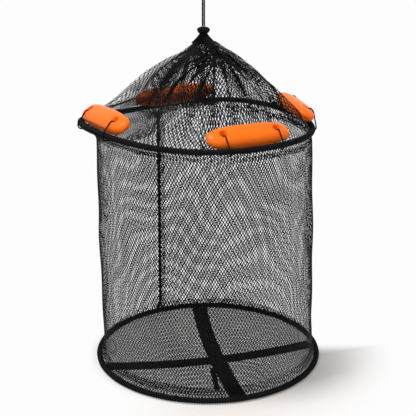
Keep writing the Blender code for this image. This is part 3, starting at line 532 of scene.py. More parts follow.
def spread(tree, value, low, high):
    """A smooth step from 0 where the value is low to 1 where it is high."""
    node = add_node(tree, "ShaderNodeMapRange", {"Value": value, "From Min": low, "From Max": high},
                    interpolation_type="SMOOTHSTEP")
    return node.outputs["Result"]


def mix_colours(tree, share, first, second):
    """The first colour at share 0 and the second at 1."""
    node = add_node(tree, "ShaderNodeMix", {0: share}, data_type="RGBA")
    for socket, value in ((node.inputs[6], first), (node.inputs[7], second)):
        if isinstance(value, bpy.types.NodeSocket):
            tree.links.new(value, socket)
        else:
            socket.default_value = (*value, 1.0)
    return node.outputs[2]


def noise(tree, coordinate, scale, detail, roughness):
    """A cloudy pattern from 0 to 1."""
    node = add_node(tree, "ShaderNodeTexNoise", {"Vector": coordinate, "Scale": scale,
                                                 "Detail": detail, "Roughness": roughness})
    return node.outputs["Fac"]


def new_group(name, inputs, outputs):
    """A shader node group with its sockets, and its two end nodes."""
    group = bpy.data.node_groups.new(name, "ShaderNodeTree")
    for label, kind, default in inputs:
        socket = group.interface.new_socket(label, in_out="INPUT", socket_type=kind)
        if default is not None:
            socket.default_value = default
    for label, kind in outputs:
        group.interface.new_socket(label, in_out="OUTPUT", socket_type=kind)
    source = group.nodes.new("NodeGroupInput")
    result = group.nodes.new("NodeGroupOutput")
    return group, source, result


def use_group(tree, group, inputs):
    """Places a group in a material with its own values."""
    return add_node(tree, "ShaderNodeGroup", inputs, node_tree=group)


FLOAT_SOCKET = "NodeSocketFloat"
VECTOR_SOCKET = "NodeSocketVector"


def build_yarn_group():
    """Yarn along a piece's UV map: slanted plies that repeat with the length, and fine fibres.

    Height is the plies' rounded ridges plus the fibres; the second output is painted shade, darker
    between the plies and lighter on their ridges.
    """
    group, source, result = new_group(
        "yarn", [("Ply length", FLOAT_SOCKET, 0.002), ("Plies round", FLOAT_SOCKET, 2.0),
                 ("Fibre", FLOAT_SOCKET, 0.3), ("Groove", FLOAT_SOCKET, 0.25)],
        [("Height", FLOAT_SOCKET), ("Painted shade", FLOAT_SOCKET)])
    place = add_node(group, "ShaderNodeUVMap", uv_map="along").outputs[0]
    parts = add_node(group, "ShaderNodeSeparateXYZ", {0: place})
    turns = maths(group, "DIVIDE", parts.outputs["X"], source.outputs["Ply length"])
    wound = maths(group, "MULTIPLY_ADD", parts.outputs["Y"], source.outputs["Plies round"], turns)
    ridge = maths(group, "ABSOLUTE", maths(group, "SINE", maths(group, "MULTIPLY", wound, math.pi)))
    where = add_node(group, "ShaderNodeTexCoord").outputs["Object"]
    fibres = noise(group, where, 4200.0, 4.0, 0.7)
    rough = maths(group, "MULTIPLY", maths(group, "SUBTRACT", fibres, 0.5), source.outputs["Fibre"])
    height = maths(group, "ADD", ridge, rough)
    painted_shade = spread(group, height, source.outputs["Groove"], 0.98)
    group.links.new(height, result.inputs["Height"])
    group.links.new(painted_shade, result.inputs["Painted shade"])
    return group


def build_weave_group():
    """Webbing: ribs along it and picks across it, from the place along and across the strap.

    Each is the sine of its count, without sign, and the picks of neighbouring ribs are staggered.
    The second output is painted shade, darker where the weave is low.
    """
    group, source, result = new_group(
        "weave", [("Place", VECTOR_SOCKET, None), ("Rib", FLOAT_SOCKET, 0.0016),
                  ("Pick", FLOAT_SOCKET, 0.0011)],
        [("Height", FLOAT_SOCKET), ("Painted shade", FLOAT_SOCKET)])
    parts = add_node(group, "ShaderNodeSeparateXYZ", {0: source.outputs["Place"]})
    across = maths(group, "DIVIDE", parts.outputs["Y"], source.outputs["Rib"])
    along = maths(group, "DIVIDE", parts.outputs["X"], source.outputs["Pick"])
    rib = maths(group, "ABSOLUTE", maths(group, "SINE", maths(group, "MULTIPLY", across, math.pi)))
    column = maths(group, "FLOOR", across)
    stagger = maths(group, "MULTIPLY", column, 0.5)
    pick = maths(group, "ABSOLUTE", maths(group, "SINE", maths(
        group, "MULTIPLY", maths(group, "ADD", along, stagger), math.pi)))
    height = maths(group, "MULTIPLY", rib, maths(group, "MULTIPLY_ADD", pick, 0.6, 0.4))
    painted_shade = spread(group, height, 0.05, 0.8)
    group.links.new(height, result.inputs["Height"])
    group.links.new(painted_shade, result.inputs["Painted shade"])
    return group


def build_use_group():
    """Traces of use: cloudy dust or fading, and fine specks, as two masks."""
    group, source, result = new_group(
        "use", [("Cloud scale", FLOAT_SOCKET, 20.0), ("Speck scale", FLOAT_SOCKET, 900.0)],
        [("Cloud", FLOAT_SOCKET), ("Speck", FLOAT_SOCKET)])
    where = add_node(group, "ShaderNodeTexCoord").outputs["Object"]
    cloud = noise(group, where, source.outputs["Cloud scale"], 5.0, 0.6)
    specks = noise(group, where, source.outputs["Speck scale"], 2.0, 0.5)
    group.links.new(spread(group, cloud, 0.35, 0.7), result.inputs["Cloud"])
    group.links.new(spread(group, specks, 0.62, 0.75), result.inputs["Speck"])
    return group


YARN = build_yarn_group()
WEAVE = build_weave_group()
USE = build_use_group()


def new_material(name, roughness, metallic=0.0):
    """A Principled material; constants are set on the shader's own sockets."""
    material = bpy.data.materials.new(name)
    material.use_nodes = True
    shader = material.node_tree.nodes["Principled BSDF"]
    shader.inputs["Roughness"].default_value = roughness
    shader.inputs["Metallic"].default_value = metallic
    return material, material.node_tree, shader


def set_sockets(shader, **values):
    """Sets the shader's sockets, whose names are written with _ for each space."""
    for key, value in values.items():
        shader.inputs[key.replace("_", " ")].default_value = value


def bump(tree, shader, height, strength, distance):
    """Shades the surface as if it rose by the distance where the height is 1."""
    node = add_node(tree, "ShaderNodeBump", {"Height": height, "Strength": strength,
                                             "Distance": distance})
    tree.links.new(node.outputs[0], shader.inputs["Normal"])


def strand_material(name, dark, light, roughness, ply, round_plies, depth, shine, groove=0.25):
    """Black yarn: plies from the UV map and cloudy fading."""
    material, tree, shader = new_material(name, roughness)
    yarn = use_group(tree, YARN, {"Ply length": ply, "Plies round": round_plies, "Fibre": 0.35,
                                  "Groove": groove})
    use = use_group(tree, USE, {"Cloud scale": 14.0, "Speck scale": 1500.0})
    # Painted shade: the yarn's colour runs from dark in the grooves between plies to light on their
    # ridges.
    colour = mix_colours(tree, yarn.outputs["Painted shade"], dark, light)
    faded = tuple(1.8 * value + 0.002 for value in light)
    colour = mix_colours(tree, maths(tree, "MULTIPLY", use.outputs["Cloud"], 0.3), colour, faded)
    tree.links.new(colour, shader.inputs["Base Color"])
    tree.links.new(maths(tree, "MULTIPLY_ADD", use.outputs["Cloud"], 0.15, roughness - 0.05),
                   shader.inputs["Roughness"])
    set_sockets(shader, Specular_IOR_Level=shine, Sheen_Weight=0.006, Sheen_Roughness=0.4)
    bump(tree, shader, yarn.outputs["Height"], 0.7, depth)
    return material


def webbing_material(name):
    """Flat black webbing with ribs and picks, painted shade where the weave is low, a little dust
    in the weave.
    """
    material, tree, shader = new_material(name, 0.72)
    place = add_node(tree, "ShaderNodeUVMap", uv_map="along").outputs[0]
    weave = use_group(tree, WEAVE, {"Place": place, "Rib": 0.0019, "Pick": 0.0013})
    use = use_group(tree, USE, {"Cloud scale": 18.0, "Speck scale": 1300.0})
    # Painted shade: darker where the weave is low.
    colour = mix_colours(tree, weave.outputs["Painted shade"], (0.0018, 0.0018, 0.0022),
                         (0.0070, 0.0070, 0.0078))
    colour = mix_colours(tree, maths(tree, "MULTIPLY", use.outputs["Cloud"], 0.3), colour,
                         (0.012, 0.0115, 0.0115))
    tree.links.new(colour, shader.inputs["Base Color"])
    set_sockets(shader, Specular_IOR_Level=0.2, Sheen_Weight=0.015)
    bump(tree, shader, weave.outputs["Height"], 0.8, 0.0004)
    return material


def float_material():
    """Moulded orange plastic: fine orange peel, faint cloudiness, thin scuffs that catch light."""
    material, tree, shader = new_material("float_orange", 0.3)
    where = add_node(tree, "ShaderNodeTexCoord").outputs["Object"]
    use = use_group(tree, USE, {"Cloud scale": 22.0, "Speck scale": 700.0})
    colour = mix_colours(tree, use.outputs["Cloud"], (0.96, 0.160, 0.0060), (0.96, 0.180, 0.0090))
    colour = mix_colours(tree, maths(tree, "MULTIPLY", use.outputs["Speck"], 0.05), colour,
                         (0.95, 0.36, 0.09))
    tree.links.new(colour, shader.inputs["Base Color"])
    stretched = add_node(tree, "ShaderNodeMapping", {"Vector": where, "Scale": (1.0, 0.25, 1.0)})
    scuffs = noise(tree, stretched.outputs[0], 260.0, 3.0, 0.6)
    mark = spread(tree, scuffs, 0.62, 0.72)
    tree.links.new(maths(tree, "MULTIPLY_ADD", mark, 0.08, 0.30), shader.inputs["Roughness"])
    peel = noise(tree, where, 750.0, 2.0, 0.5)
    set_sockets(shader, Subsurface_Weight=0.30, Subsurface_Radius=(0.014, 0.003, 0.001),
                Subsurface_Scale=0.6, Specular_IOR_Level=0.10)
    bump(tree, shader, peel, 0.10, 0.0003)
    return material


def steel_material(name, colour, roughness):
    """Drawn wire: fine lines along it and a little dulling."""
    material, tree, shader = new_material(name, roughness, 1.0)
    where = add_node(tree, "ShaderNodeTexCoord").outputs["Object"]
    lines = noise(tree, where, 2500.0, 2.0, 0.7)
    use = use_group(tree, USE, {"Cloud scale": 40.0, "Speck scale": 800.0})
    dulled = mix_colours(tree, maths(tree, "MULTIPLY", use.outputs["Cloud"], 0.6), colour,
                         tuple(0.55 * value for value in colour))
    tree.links.new(dulled, shader.inputs["Base Color"])
    tree.links.new(maths(tree, "MULTIPLY_ADD", use.outputs["Cloud"], 0.25, roughness),
                   shader.inputs["Roughness"])
    bump(tree, shader, lines, 0.2, 0.0001)
    return material


# Each yarn's dark colour is painted shade in its grooves, its light colour that of its ridges.
NETTING = strand_material(
    "net_black", dark=(0.0006, 0.0006, 0.0008), light=(0.0028, 0.0027, 0.0033), roughness=0.6,
    ply=0.0013, round_plies=1.0, depth=0.00025, shine=0.08)
WHIPPING = strand_material(
    "whipping_black", dark=(0.0002, 0.0002, 0.0003), light=(0.0085, 0.0085, 0.0095), roughness=0.65,
    ply=1.0, round_plies=float(RIB_SLANT), depth=0.0002, shine=0.06, groove=0.55)
LACING = strand_material(
    "lacing_black", dark=(0.0014, 0.0014, 0.0018), light=(0.0060, 0.0060, 0.0068), roughness=0.6,
    ply=0.0016, round_plies=2.0, depth=0.00015, shine=0.10)
CORD = strand_material(
    "cord_black", dark=(0.0008, 0.0008, 0.0010), light=(0.0042, 0.0042, 0.0050), roughness=0.55,
    ply=0.0022, round_plies=float(CORD_PLIES), depth=0.0002, shine=0.08)
WEBBING = webbing_material("webbing_black")
FLOAT_PLASTIC = float_material()
HOOP_STEEL = steel_material("hoop_steel", (0.46, 0.47, 0.49), 0.32)
FERRULE_STEEL = steel_material("ferrule_steel", (0.58, 0.59, 0.61), 0.26)


# Camera, lights, floor

def add_camera():
    """The camera at the photo's place, turned only downwards."""
    data = bpy.data.cameras.new("camera")
    data.lens = CAMERA_LENS
    data.sensor_width = SENSOR_WIDTH
    camera = place_object("camera", data)
    camera.location = CAMERA_PLACE
    camera.rotation_euler = (math.pi / 2 - CAMERA_PITCH, 0.0, 0.0)
    bpy.context.scene.camera = camera


def add_lamp(name, lamp, colour):
    """A square lamp that faces the net's middle."""
    place, size, power = lamp
    data = bpy.data.lights.new(name, "AREA")
    data.size = size
    data.energy = power
    data.color = colour
    light = place_object(name, data)
    light.location = place
    aim = np.array(NET_MIDDLE) - np.array(place)
    light.rotation_euler = (math.acos(-aim[2] / np.linalg.norm(aim)), 0.0,
                            math.atan2(aim[1], aim[0]) - math.pi / 2)


def seen_by_camera(tree):
    """1 for camera, glossy and transmission rays, which see the white background."""
    path = add_node(tree, "ShaderNodeLightPath")
    seen = maths(tree, "MAXIMUM", path.outputs["Is Camera Ray"], path.outputs["Is Glossy Ray"])
    return maths(tree, "MAXIMUM", seen, path.outputs["Is Transmission Ray"])


def add_world():
    """Soft light from all round; the camera and reflections see the plain background."""
    world = bpy.data.worlds.new("studio")
    bpy.context.scene.world = world
    world.use_nodes = True
    tree = world.node_tree
    background = tree.nodes["Background"]
    seen = seen_by_camera(tree)
    colour = mix_colours(tree, seen, SKY_COLOUR, BACKGROUND)
    tree.links.new(colour, background.inputs["Color"])
    tree.links.new(maths(tree, "MULTIPLY_ADD", seen, 1 - SKY, SKY), background.inputs["Strength"])


def add_floor():
    """A pale floor with painted light: seen by the camera and in reflections, a white glow covers
    its shadow further off, behind the net and to its left, and partly lights the floor under the
    net.
    """
    half = FLOOR_SIZE / 2
    level = FLOOR_LEVEL - FIT
    points = np.array([(-half, -half, level), (half, -half, level), (half, half, level),
                       (-half, half, level)])
    mesh = new_mesh("floor", points, np.array([[0, 1, 2, 3]]))
    floor = place_object("floor", mesh)
    material = bpy.data.materials.new("studio_floor")
    material.use_nodes = True
    tree = material.node_tree
    tree.nodes.clear()
    place = add_node(tree, "ShaderNodeTexCoord").outputs["Object"]
    parts = add_node(tree, "ShaderNodeSeparateXYZ", {0: place})
    flat = add_node(tree, "ShaderNodeCombineXYZ", {0: parts.outputs[0], 1: parts.outputs[1]})
    length = add_node(tree, "ShaderNodeVectorMath", {0: flat.outputs[0]}, operation="LENGTH")
    reach = length.outputs["Value"]
    # Painted light: where these masks reach, the camera and reflections see a white glow in place
    # of the floor's shade; under the net a part of it shines.
    far = spread(tree, reach, *FLOOR_FADE)
    behind = spread(tree, parts.outputs[1], FLOOR_PAINTED_LIGHT_FROM, FLOOR_PAINTED_LIGHT_BEHIND)
    left = spread(tree, parts.outputs[0], FLOOR_SHADE_FROM, FLOOR_PAINTED_LIGHT_LEFT)
    white = maths(tree, "MAXIMUM", behind, left)
    outside = spread(tree, reach, *FLOOR_RIM)
    far = maths(tree, "MAXIMUM", far, maths(tree, "MULTIPLY", white, outside))
    under = maths(tree, "MULTIPLY_ADD", outside, -FLOOR_PAINTED_GLOW, FLOOR_PAINTED_GLOW)
    far = maths(tree, "MAXIMUM", far, under)
    paint = add_node(tree, "ShaderNodeBsdfDiffuse", {"Color": (*FLOOR_PAINT, 1.0)})
    glow = add_node(tree, "ShaderNodeEmission", {"Color": (*BACKGROUND, 1.0), "Strength": 1.0})
    lift = maths(tree, "MULTIPLY", far, seen_by_camera(tree))
    mixed = add_node(tree, "ShaderNodeMixShader", {0: lift, 1: paint.outputs[0],
                                                   2: glow.outputs[0]})
    output = add_node(tree, "ShaderNodeOutputMaterial")
    tree.links.new(mixed.outputs[0], output.inputs["Surface"])
    mesh.materials.append(material)


# Hoops

def upper_lift(angle):
    """Height of the upper hoop's wire over its middle level: its lean and its spring."""
    lean = HOOP_RADIUS * (UPPER_LEAN[0] * np.cos(angle) + UPPER_LEAN[1] * np.sin(angle))
    saddle = UPPER_SADDLE * np.sin(2 * angle)
    wave = UPPER_WAVE * np.cos(3 * angle - UPPER_WAVE_AT)
    return lean + saddle - wave


def round_points(angle, radius, shift, level):
    """Points at one radius round the net's axis, moved by a shift."""
    x = LOWER_MIDDLE[0] + shift[0] + radius * np.cos(angle)
    y = LOWER_MIDDLE[1] + shift[1] + radius * np.sin(angle)
    z = level + 0.0 * angle + 0.0 * radius
    return np.stack([x, y, z], axis=-1)


def hoop_wire(angle, upper):
    """The middle line of a hoop's wire: a circle, which for the upper hoop leans and springs."""
    if upper:
        return round_points(angle, HOOP_RADIUS, UPPER_SHIFT, UPPER_LEVEL + upper_lift(angle))
    return round_points(angle, HOOP_RADIUS, (0.0, 0.0), LOWER_MIDDLE[2])


def outward_at(angle):
    """Level, straight away from the net's axis."""
    return np.stack([np.cos(angle), np.sin(angle), 0.0 * angle], axis=-1)


def beside_at(angle):
    """Level, round the net."""
    return np.stack([-np.sin(angle), np.cos(angle), 0.0 * angle], axis=-1)


def rib_phase(around):
    """Place among the whipping's ribs, half a turn for each, not quite evenly wound."""
    return RIB_COUNT / 2 * around + waves(RIB_DRIFT, around)


def add_binding(name, upper, body, node):
    """The close whipping over a hoop: slanted ribs of yarn round a round section.

    The section's radius is the binding's, less the rib depth times how far a point is from the
    nearest rib's ridge; ribs advance one step for each turn of the yarn. The UV map counts ribs,
    so that painted shade darkens the yarn in the grooves and leaves the ridges lighter.
    """
    steps = RIB_COUNT * RIB_STEPS
    around = full_turn(steps)
    angle = full_turn(WHIPPING_SIDES)
    ridge = np.abs(np.cos(rib_phase(around)[:, None] + RIB_SLANT / 2 * angle[None]))
    swells = np.sin(WHIPPING_SWELLS * around[:, None] + WHIPPING_SWELL_SLANT * angle[None])
    radius = BINDING_DIAMETER / 2 * (1 + WHIPPING_SWELL * swells) - RIB_DEPTH * (1 - ridge)
    section = radius[..., None] * circle(angle)[None]
    path = hoop_wire(around, upper)[None]
    lift = outward_at(around)[None]
    points, quads, triangles, marks = sweep_arrays(path, lift, section[None], closed=True)
    run = run_along(np.concatenate([path[0], path[0, :1]]))
    turned = np.interp(marks[:, 0], run, np.linspace(0.0, 2 * math.pi, steps + 1))
    marks[:, 0] = rib_phase(turned) / math.pi + 0.5
    mesh = new_mesh(name, points, quads, triangles, marks)
    piece = add_piece(name, mesh, WHIPPING, "binding", node)
    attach(piece, body)


# Netting

def zigzag():
    """Where a zigzag's four points are along it: both ends of each join, for either side."""
    half_join = JOIN_SHARE / 4
    return np.array([-half_join, half_join, 0.5 - half_join, 0.5 + half_join])


def chain_rows(length, cell):
    """Places along a chain, from 0 to 1, and on which side of its line each is."""
    count = max(1, round(length / cell))
    places = (np.arange(count)[:, None] + 0.25 + zigzag()[None]).reshape(-1) / count
    sides = np.tile([0, 0, 1, 1], count)
    places = np.concatenate([[0.0], places, [1.0]])
    sides = np.concatenate([[0], sides, [0]])
    return places, sides


def net_section(width=STRAND_WIDTH):
    """A strand's section: a flat side to the inside of the net and a ridge to the outside."""
    half = width / 2
    return np.array([(-half, -STRAND_THICKNESS / 3), (0.0, STRAND_THICKNESS * 2 / 3),
                     (half, -STRAND_THICKNESS / 3)])


def strands_between(points, sides, chains):
    """Chains woven over a surface sampled at both sides of every chain.

    points is [rows, 2 * chains, 3]: columns 2i and 2i + 1 are the left and right of chain i.
    Neighbouring chains zigzag in opposite steps, so that they meet at each join.
    """
    rows = points.shape[0]
    down = np.gradient(points, axis=0)
    along = np.roll(points, -2, axis=1) - np.roll(points, 2, axis=1)
    normal = unit(np.cross(along, down))
    chosen = (sides[None] + chains[:, None]) % 2
    column = 2 * chains[:, None] + chosen
    row = np.broadcast_to(np.arange(rows)[None], column.shape)
    return points[row, column], normal[row, column]


def cloth_angles(chains=WALL_CHAINS, width=STRAND_WIDTH):
    """Angles round the net of the left and right side of every chain."""
    pitch = 2 * math.pi / chains
    half = (pitch - width / HOOP_RADIUS) / 2
    middle = np.arange(chains) * pitch
    return np.stack([middle - half, middle + half], axis=-1).reshape(-1)


def add_net(name, points, sides, width, panels, blend):
    """The chains of a round net, in panels of equal width; blend bakes each one's placement."""
    each = points.shape[1] // 2 // panels
    for panel in range(panels):
        chains = np.arange(panel * each, (panel + 1) * each)
        path, lift = strands_between(points, sides, chains)
        arrays = sweep_arrays(path, lift, net_section(width))
        panel_name = f"{name}_{panel + 1}"
        piece = add_piece(panel_name, new_mesh(panel_name, *arrays), NETTING, "netting", name)
        blend(piece)


def wall_top(angle):
    """The wall's upper edge, just inside the upper hoop and under it."""
    level = UPPER_LEVEL + upper_lift(angle) - WALL_EDGE_DROP
    return round_points(angle, HOOP_RADIUS - WALL_INSET, UPPER_SHIFT, level)


def wall_tube(angle, share, level):
    """The taut part of the wall; share runs from 0 at its top to 1 at its bottom."""
    radius = HOOP_RADIUS - WALL_TOP_DRAW * (1 - share) - WALL_BOTTOM_DRAW * share
    shift = [value * (1 - share) for value in WALL_TOP_SHIFT]
    return round_points(angle, radius, shift, level)


def wall_point(angle, way):
    """The wall: way goes 0 to 1 down the funnel, to 2 down the tube, to 3 at the lower hoop.

    In the funnel the upper edge's shape turns into the tube's by 1 - (1 - way) squared, and at
    the foot the tube's into the lower hoop's by the square of the way past 2.
    """
    edge = wall_top(angle)
    foot_level = LOWER_MIDDLE[2] + WALL_EDGE_DROP
    flare_start = foot_level + WALL_FLARE
    if way <= 1:
        inward = 1 - (1 - way) ** 2
        level = edge[..., 2] - WALL_FUNNEL * way
        tube = wall_tube(angle, 0.0, level)
        point = edge * (1 - inward) + tube * inward
        point[..., 2] = level
        return point
    if way <= 2:
        share = way - 1
        level = (edge[..., 2] - WALL_FUNNEL) * (1 - share) + flare_start * share
        return wall_tube(angle, share, level)
    down = way - 2
    flared = down ** 2
    level = flare_start * (1 - down) + foot_level * down
    foot = round_points(angle, HOOP_RADIUS - WALL_INSET, (0.0, 0.0), level)
    return wall_tube(angle, 1.0, level) * (1 - flared) + foot * flared


def way_down(places):
    """The wall's way at each share of its height."""
    ends = [0.0, WALL_FUNNEL / WALL_LENGTH, 1 - WALL_FLARE / WALL_LENGTH, 1.0]
    return np.interp(places, ends, [0.0, 1.0, 2.0, 3.0])


def wall_places():
    """Rows of the wall's chains: the share of its height, the side of each and its way."""
    places, sides = chain_rows(WALL_LENGTH, CELL_HEIGHT)
    return places, sides, way_down(places)


def wall_row(angle, place, way):
    """One row of the wall's netting, slightly uneven as hung netting is."""
    hold = math.sin(math.pi * place) ** 0.5
    point = wall_point(angle + hold * waves(WALL_DRIFT, angle, place), way)
    point += outward_at(angle) * (hold * waves(WALL_BILLOW, angle, place))[:, None]
    point[:, 2] += hold * waves(WALL_SAG, angle, place)
    return point


def blend_wall(piece):
    """Bakes a piece of the wall's placement into its points."""
    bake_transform(piece)


def blend_crown(piece):
    """Bakes a piece of the crown's placement into its points."""
    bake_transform(piece)


def add_wall():
    """The tube of netting between the hoops."""
    places, sides, ways = wall_places()
    rows = [wall_row(cloth_angles(), place, way) for place, way in zip(places, ways)]
    add_net("wall_netting", np.stack(rows), sides, STRAND_WIDTH, WALL_PANELS, blend_wall)


# Crown

def under_floats(angle, inward):
    """1 where a float lies on the crown, 0 well beside it, and how deep it presses the net."""
    cover = 0.0 * angle
    depth = DIP_DEPTH + 0.0 * angle
    flat = (FLOAT_LENGTH / 2) / (HOOP_RADIUS - np.minimum(inward, FLOAT_WIDTH))
    for _, azimuth, lean, out in FLOATS:
        away = angle_between(angle, azimuth - math.pi / 2)
        slack = out > FLOAT_OUT
        half_length = flat * (SLACK_DIP if slack else 1.0)
        flank = half_length * (SLACK_FLANK if slack else DIP_FLANK)
        under = 1 - ease((away - half_length) / flank)
        depth += (out - FLOAT_OUT) * math.sin(lean) * (under > 0)
        cover = np.maximum(cover, under)
    return cover, depth


def crown_fullness(angle, share):
    """How far the crown stands over its even shape: fuller on its right than on its left, with a
    belly in its upper part and a bunch at the neck. Each starts and ends in smooth steps."""
    right = 0.5 + 0.5 * np.cos(angle - FULLNESS_AT)
    fullness = FULLNESS_LEFT * (1 - right) + FULLNESS_RIGHT * right
    fullness = fullness * ease(share / FULLNESS_START) * ease((1 - share) / FULLNESS_END)
    belly = BELLY * ease((share - BELLY_START) / (BELLY_FULL - BELLY_START))
    belly = belly * ease((1 - share) / BELLY_END)
    bunch = ease((share - NECK_START) / (NECK_MIDDLE - NECK_START))
    bunch = bunch * ease((1 - share) / (1 - NECK_MIDDLE))
    return fullness + belly + NECK_LIFT * bunch


def cornered(angle, share):
    """How far out the crown reaches, of its even radius, beside its two blunt corners.

    A flat side that starts at a corner at 1 and touches a round of radius cos b at angle b lies
    at cos b / cos(b - a); past b it comes back to 1.
    """
    reach = 1.0 + 0.0 * angle
    for corner, side, start in zip(CORNER_AT, CORNER_SPREAD, CORNER_START):
        away = angle_between(angle, corner)
        flat = math.cos(side) / np.cos(side - np.minimum(away, side))
        back = ease((away - side) / (CORNER_RETURN * side))
        hold = ease((share - start) / CORNER_RISE) * ease((1 - share) / CORNER_END)
        reach -= (1 - flat) * (1 - back) * hold
    return reach


def crown_bulge(angle, share):
    """How far the netting swells out beside the slack float."""
    bulge = BULGE * (1 - ease(angle_between(angle, BULGE_AT) / BULGE_REACH))
    return bulge * ease(share / BULGE_START) * ease((BULGE_TOP - share) / BULGE_FADE)


def lean_out(points, angle, depth, lean):
    """Moves the points by the depth, outwards and upwards by the two shares of the lean."""
    points += outward_at(angle) * (lean[0] * depth)[:, None]
    points[:, 2] += lean[1] * depth


def crown_surface(angle, share):
    """The crown without its folds, and how free of the floats each point is.

    Each point goes straight from the hoop to the neck in plan, and up by a slightly rounded
    slope; under a float it first drops to the float's underside.
    """
    edge = round_points(angle, HOOP_RADIUS - NET_INSET, UPPER_SHIFT,
                        UPPER_LEVEL + upper_lift(angle) + CROWN_EDGE_RISE)
    neck = round_points(angle, CROWN_NECK_RADIUS, (-LOWER_MIDDLE[0], -LOWER_MIDDLE[1]), CROWN_TOP)
    rest = 1 - share
    climb = 1 - (1 - CROWN_ROUNDING) * rest - CROWN_ROUNDING * rest ** 2
    points = edge * rest + neck * share
    middle = points.mean(axis=0)[:2]
    points[:, :2] = middle + (points[:, :2] - middle) * cornered(angle, share)[:, None]
    inward = share * HOOP_RADIUS
    rise = ease((inward - DIP_REACH) / (DIP_FADE * HOOP_RADIUS - DIP_REACH))
    cover, depth = under_floats(angle, inward)
    dip = edge[:, 2] - depth * ease(inward / DIP_START)
    open_level = edge[:, 2] + (CROWN_TOP - edge[:, 2]) * climb
    tucked_level = dip * (1 - rise) + open_level * rise
    free = 1 - cover * (1 - rise)
    points[:, 2] = open_level * (1 - cover) + tucked_level * cover
    points[:, 2] += crown_fullness(angle, share) * free
    lean_out(points, angle, crown_bulge(angle, share) * free, BULGE_LEAN)
    return points, free


def fold_swing(ratio):
    """How far the cloth's heading swings so that folded cloth covers that share of its width.

    A line whose heading is w sin(s) advances by the mean of cos(w sin s) for each length.
    """
    swing = np.linspace(0.0, WIDEST_SWING, 120)
    turn = np.linspace(0.0, math.pi, 181)
    cover = np.cos(swing[:, None] * np.sin(turn[None])).mean(axis=1)
    return np.interp(ratio, cover[::-1], swing[::-1])


def calm_sides(cloth):
    """How strongly the cloth folds: little at the two sides of the crown's outline."""
    calm = 0.0 * cloth
    for side in CALM_AT:
        calm = np.maximum(calm, 1 - ease(angle_between(cloth, side) / CALM_REACH))
    return 1 - CALM * calm


def folded_row(cloth, share):
    """Where the cloth of one row goes: its angle round the net and its depth off the surface.

    The heading swings to and fro in folds, so the cloth keeps its width while the crown narrows;
    the swing's sine adds up to the depth, and its cosine to the way round the net.
    """
    radius = (1 - share) * (HOOP_RADIUS - NET_INSET) + share * CROWN_NECK_RADIUS
    squeeze = 1 - CROWN_SQUEEZE * ease(share / SQUEEZE_FULL)
    free = calm_sides(cloth)
    cover = min(1.0, radius / (HOOP_RADIUS * squeeze))
    stretch = CALM_STRETCH * ease(share / STRETCH_FULL)
    calm = 1 - free.mean()
    swing = fold_swing(max(LEAST_COVER, (cover - calm * (1 + stretch)) / (1 - calm)))
    small = FINE_FOLDS * ease((share - FINE_START) / FINE_FADE)
    fine = small * np.sin(FINE_COUNT * CROWN_FOLDS * cloth + 2 * np.sin(2 * cloth))
    phase = CROWN_FOLDS * cloth + FOLD_SHIFT * np.cos(cloth) + waves(FOLD_LAG, cloth)
    heading = -swing * free * (np.sin(phase) + fine)
    step = np.gradient(cloth)
    way = np.cumsum((np.cos(heading) + stretch * (1 - free)) * step)
    whole = way[-1] * (len(way) + 1) / len(way)
    angle = cloth[0] + (way - way[0]) * 2 * math.pi / whole
    depth = np.cumsum(np.sin(heading) * step) * HOOP_RADIUS
    depth -= np.linspace(0.0, depth[-1], len(depth))
    depth -= depth.mean()
    return angle, depth


def crown_rows():
    """The crown's cloth, row by row from the neck down to the hoop, folded as it is drawn up."""
    length = math.hypot(HOOP_RADIUS, CROWN_HEIGHT) * CLOTH_EASE
    places, sides = chain_rows(length, CROWN_CELL_HEIGHT)
    cloth = cloth_angles(CROWN_CHAINS, CROWN_STRAND_WIDTH)
    rows = []
    for share in places:
        angle, depth = folded_row(cloth, share)
        point, free = crown_surface(angle, share)
        near_neck = ease((share - NECK_FULLNESS_START) / NECK_FULLNESS_FADE)
        lay = FOLD_LAY + NECK_FULLNESS * near_neck
        lean_out(point, angle, depth * lay * free * ease(share / FOLD_START), FOLD_LEAN)
        rows.append(point)
    return np.stack(rows[::-1]), sides[::-1]


def add_crown():
    """The crown's netting."""
    points, sides = crown_rows()
    add_net("crown_netting", points, sides, CROWN_STRAND_WIDTH, CROWN_PANELS, blend_crown)


# Base

def add_base_netting():
    """The flat netting over the lower hoop: chains from front to back, cut to the circle."""
    pitch = 2 * math.pi * HOOP_RADIUS / WALL_CHAINS
    reach = HOOP_RADIUS - NET_INSET
    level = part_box("base_netting")[0].z + STRAND_THICKNESS / 3 + BASE_CLEAR
    aside = (pitch - STRAND_WIDTH) / 2
    count = int(reach / pitch)
    parts = []
    for chain in range(-count, count + 1):
        middle = chain * pitch
        half = math.sqrt(max(reach ** 2 - middle ** 2, 0.0))
        if half < CELL_HEIGHT:
            continue
        cells_each_way = int(half / CELL_HEIGHT) + 2
        cells = np.arange(-cells_each_way, cells_each_way + 1)
        y = ((cells[:, None] + zigzag()[None]) * CELL_HEIGHT).reshape(-1)
        side = np.tile([-1, -1, 1, 1], len(cells)) * (1 if chain % 2 else -1)
        inside = np.abs(y) < half - BASE_TRIM
        y = np.concatenate([[-half], y[inside], [half]])
        side = side[inside]
        side = np.concatenate([side[:1], side, side[-1:]])
        x = middle + side * aside + waves(BASE_DRIFT, middle, y)
        z = level + 0.0 * x
        path = np.stack([LOWER_MIDDLE[0] + x, LOWER_MIDDLE[1] + y, z], axis=-1)[None]
        lift = np.broadcast_to((0.0, 0.0, 1.0), path.shape)
        parts.append(sweep_arrays(path, lift, net_section()))
    mesh = new_mesh("base_netting_strands", *join_arrays(parts))
    piece = add_piece("base_netting_strands", mesh, NETTING, "netting", "base_netting")
    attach(piece, "lower_ring")


def strap_middle(bow, t):
    """How far aside a strap's middle line is: offset + slope t + bend t t."""
    offset, slope, bend = bow
    return offset + slope * t + bend * t * t


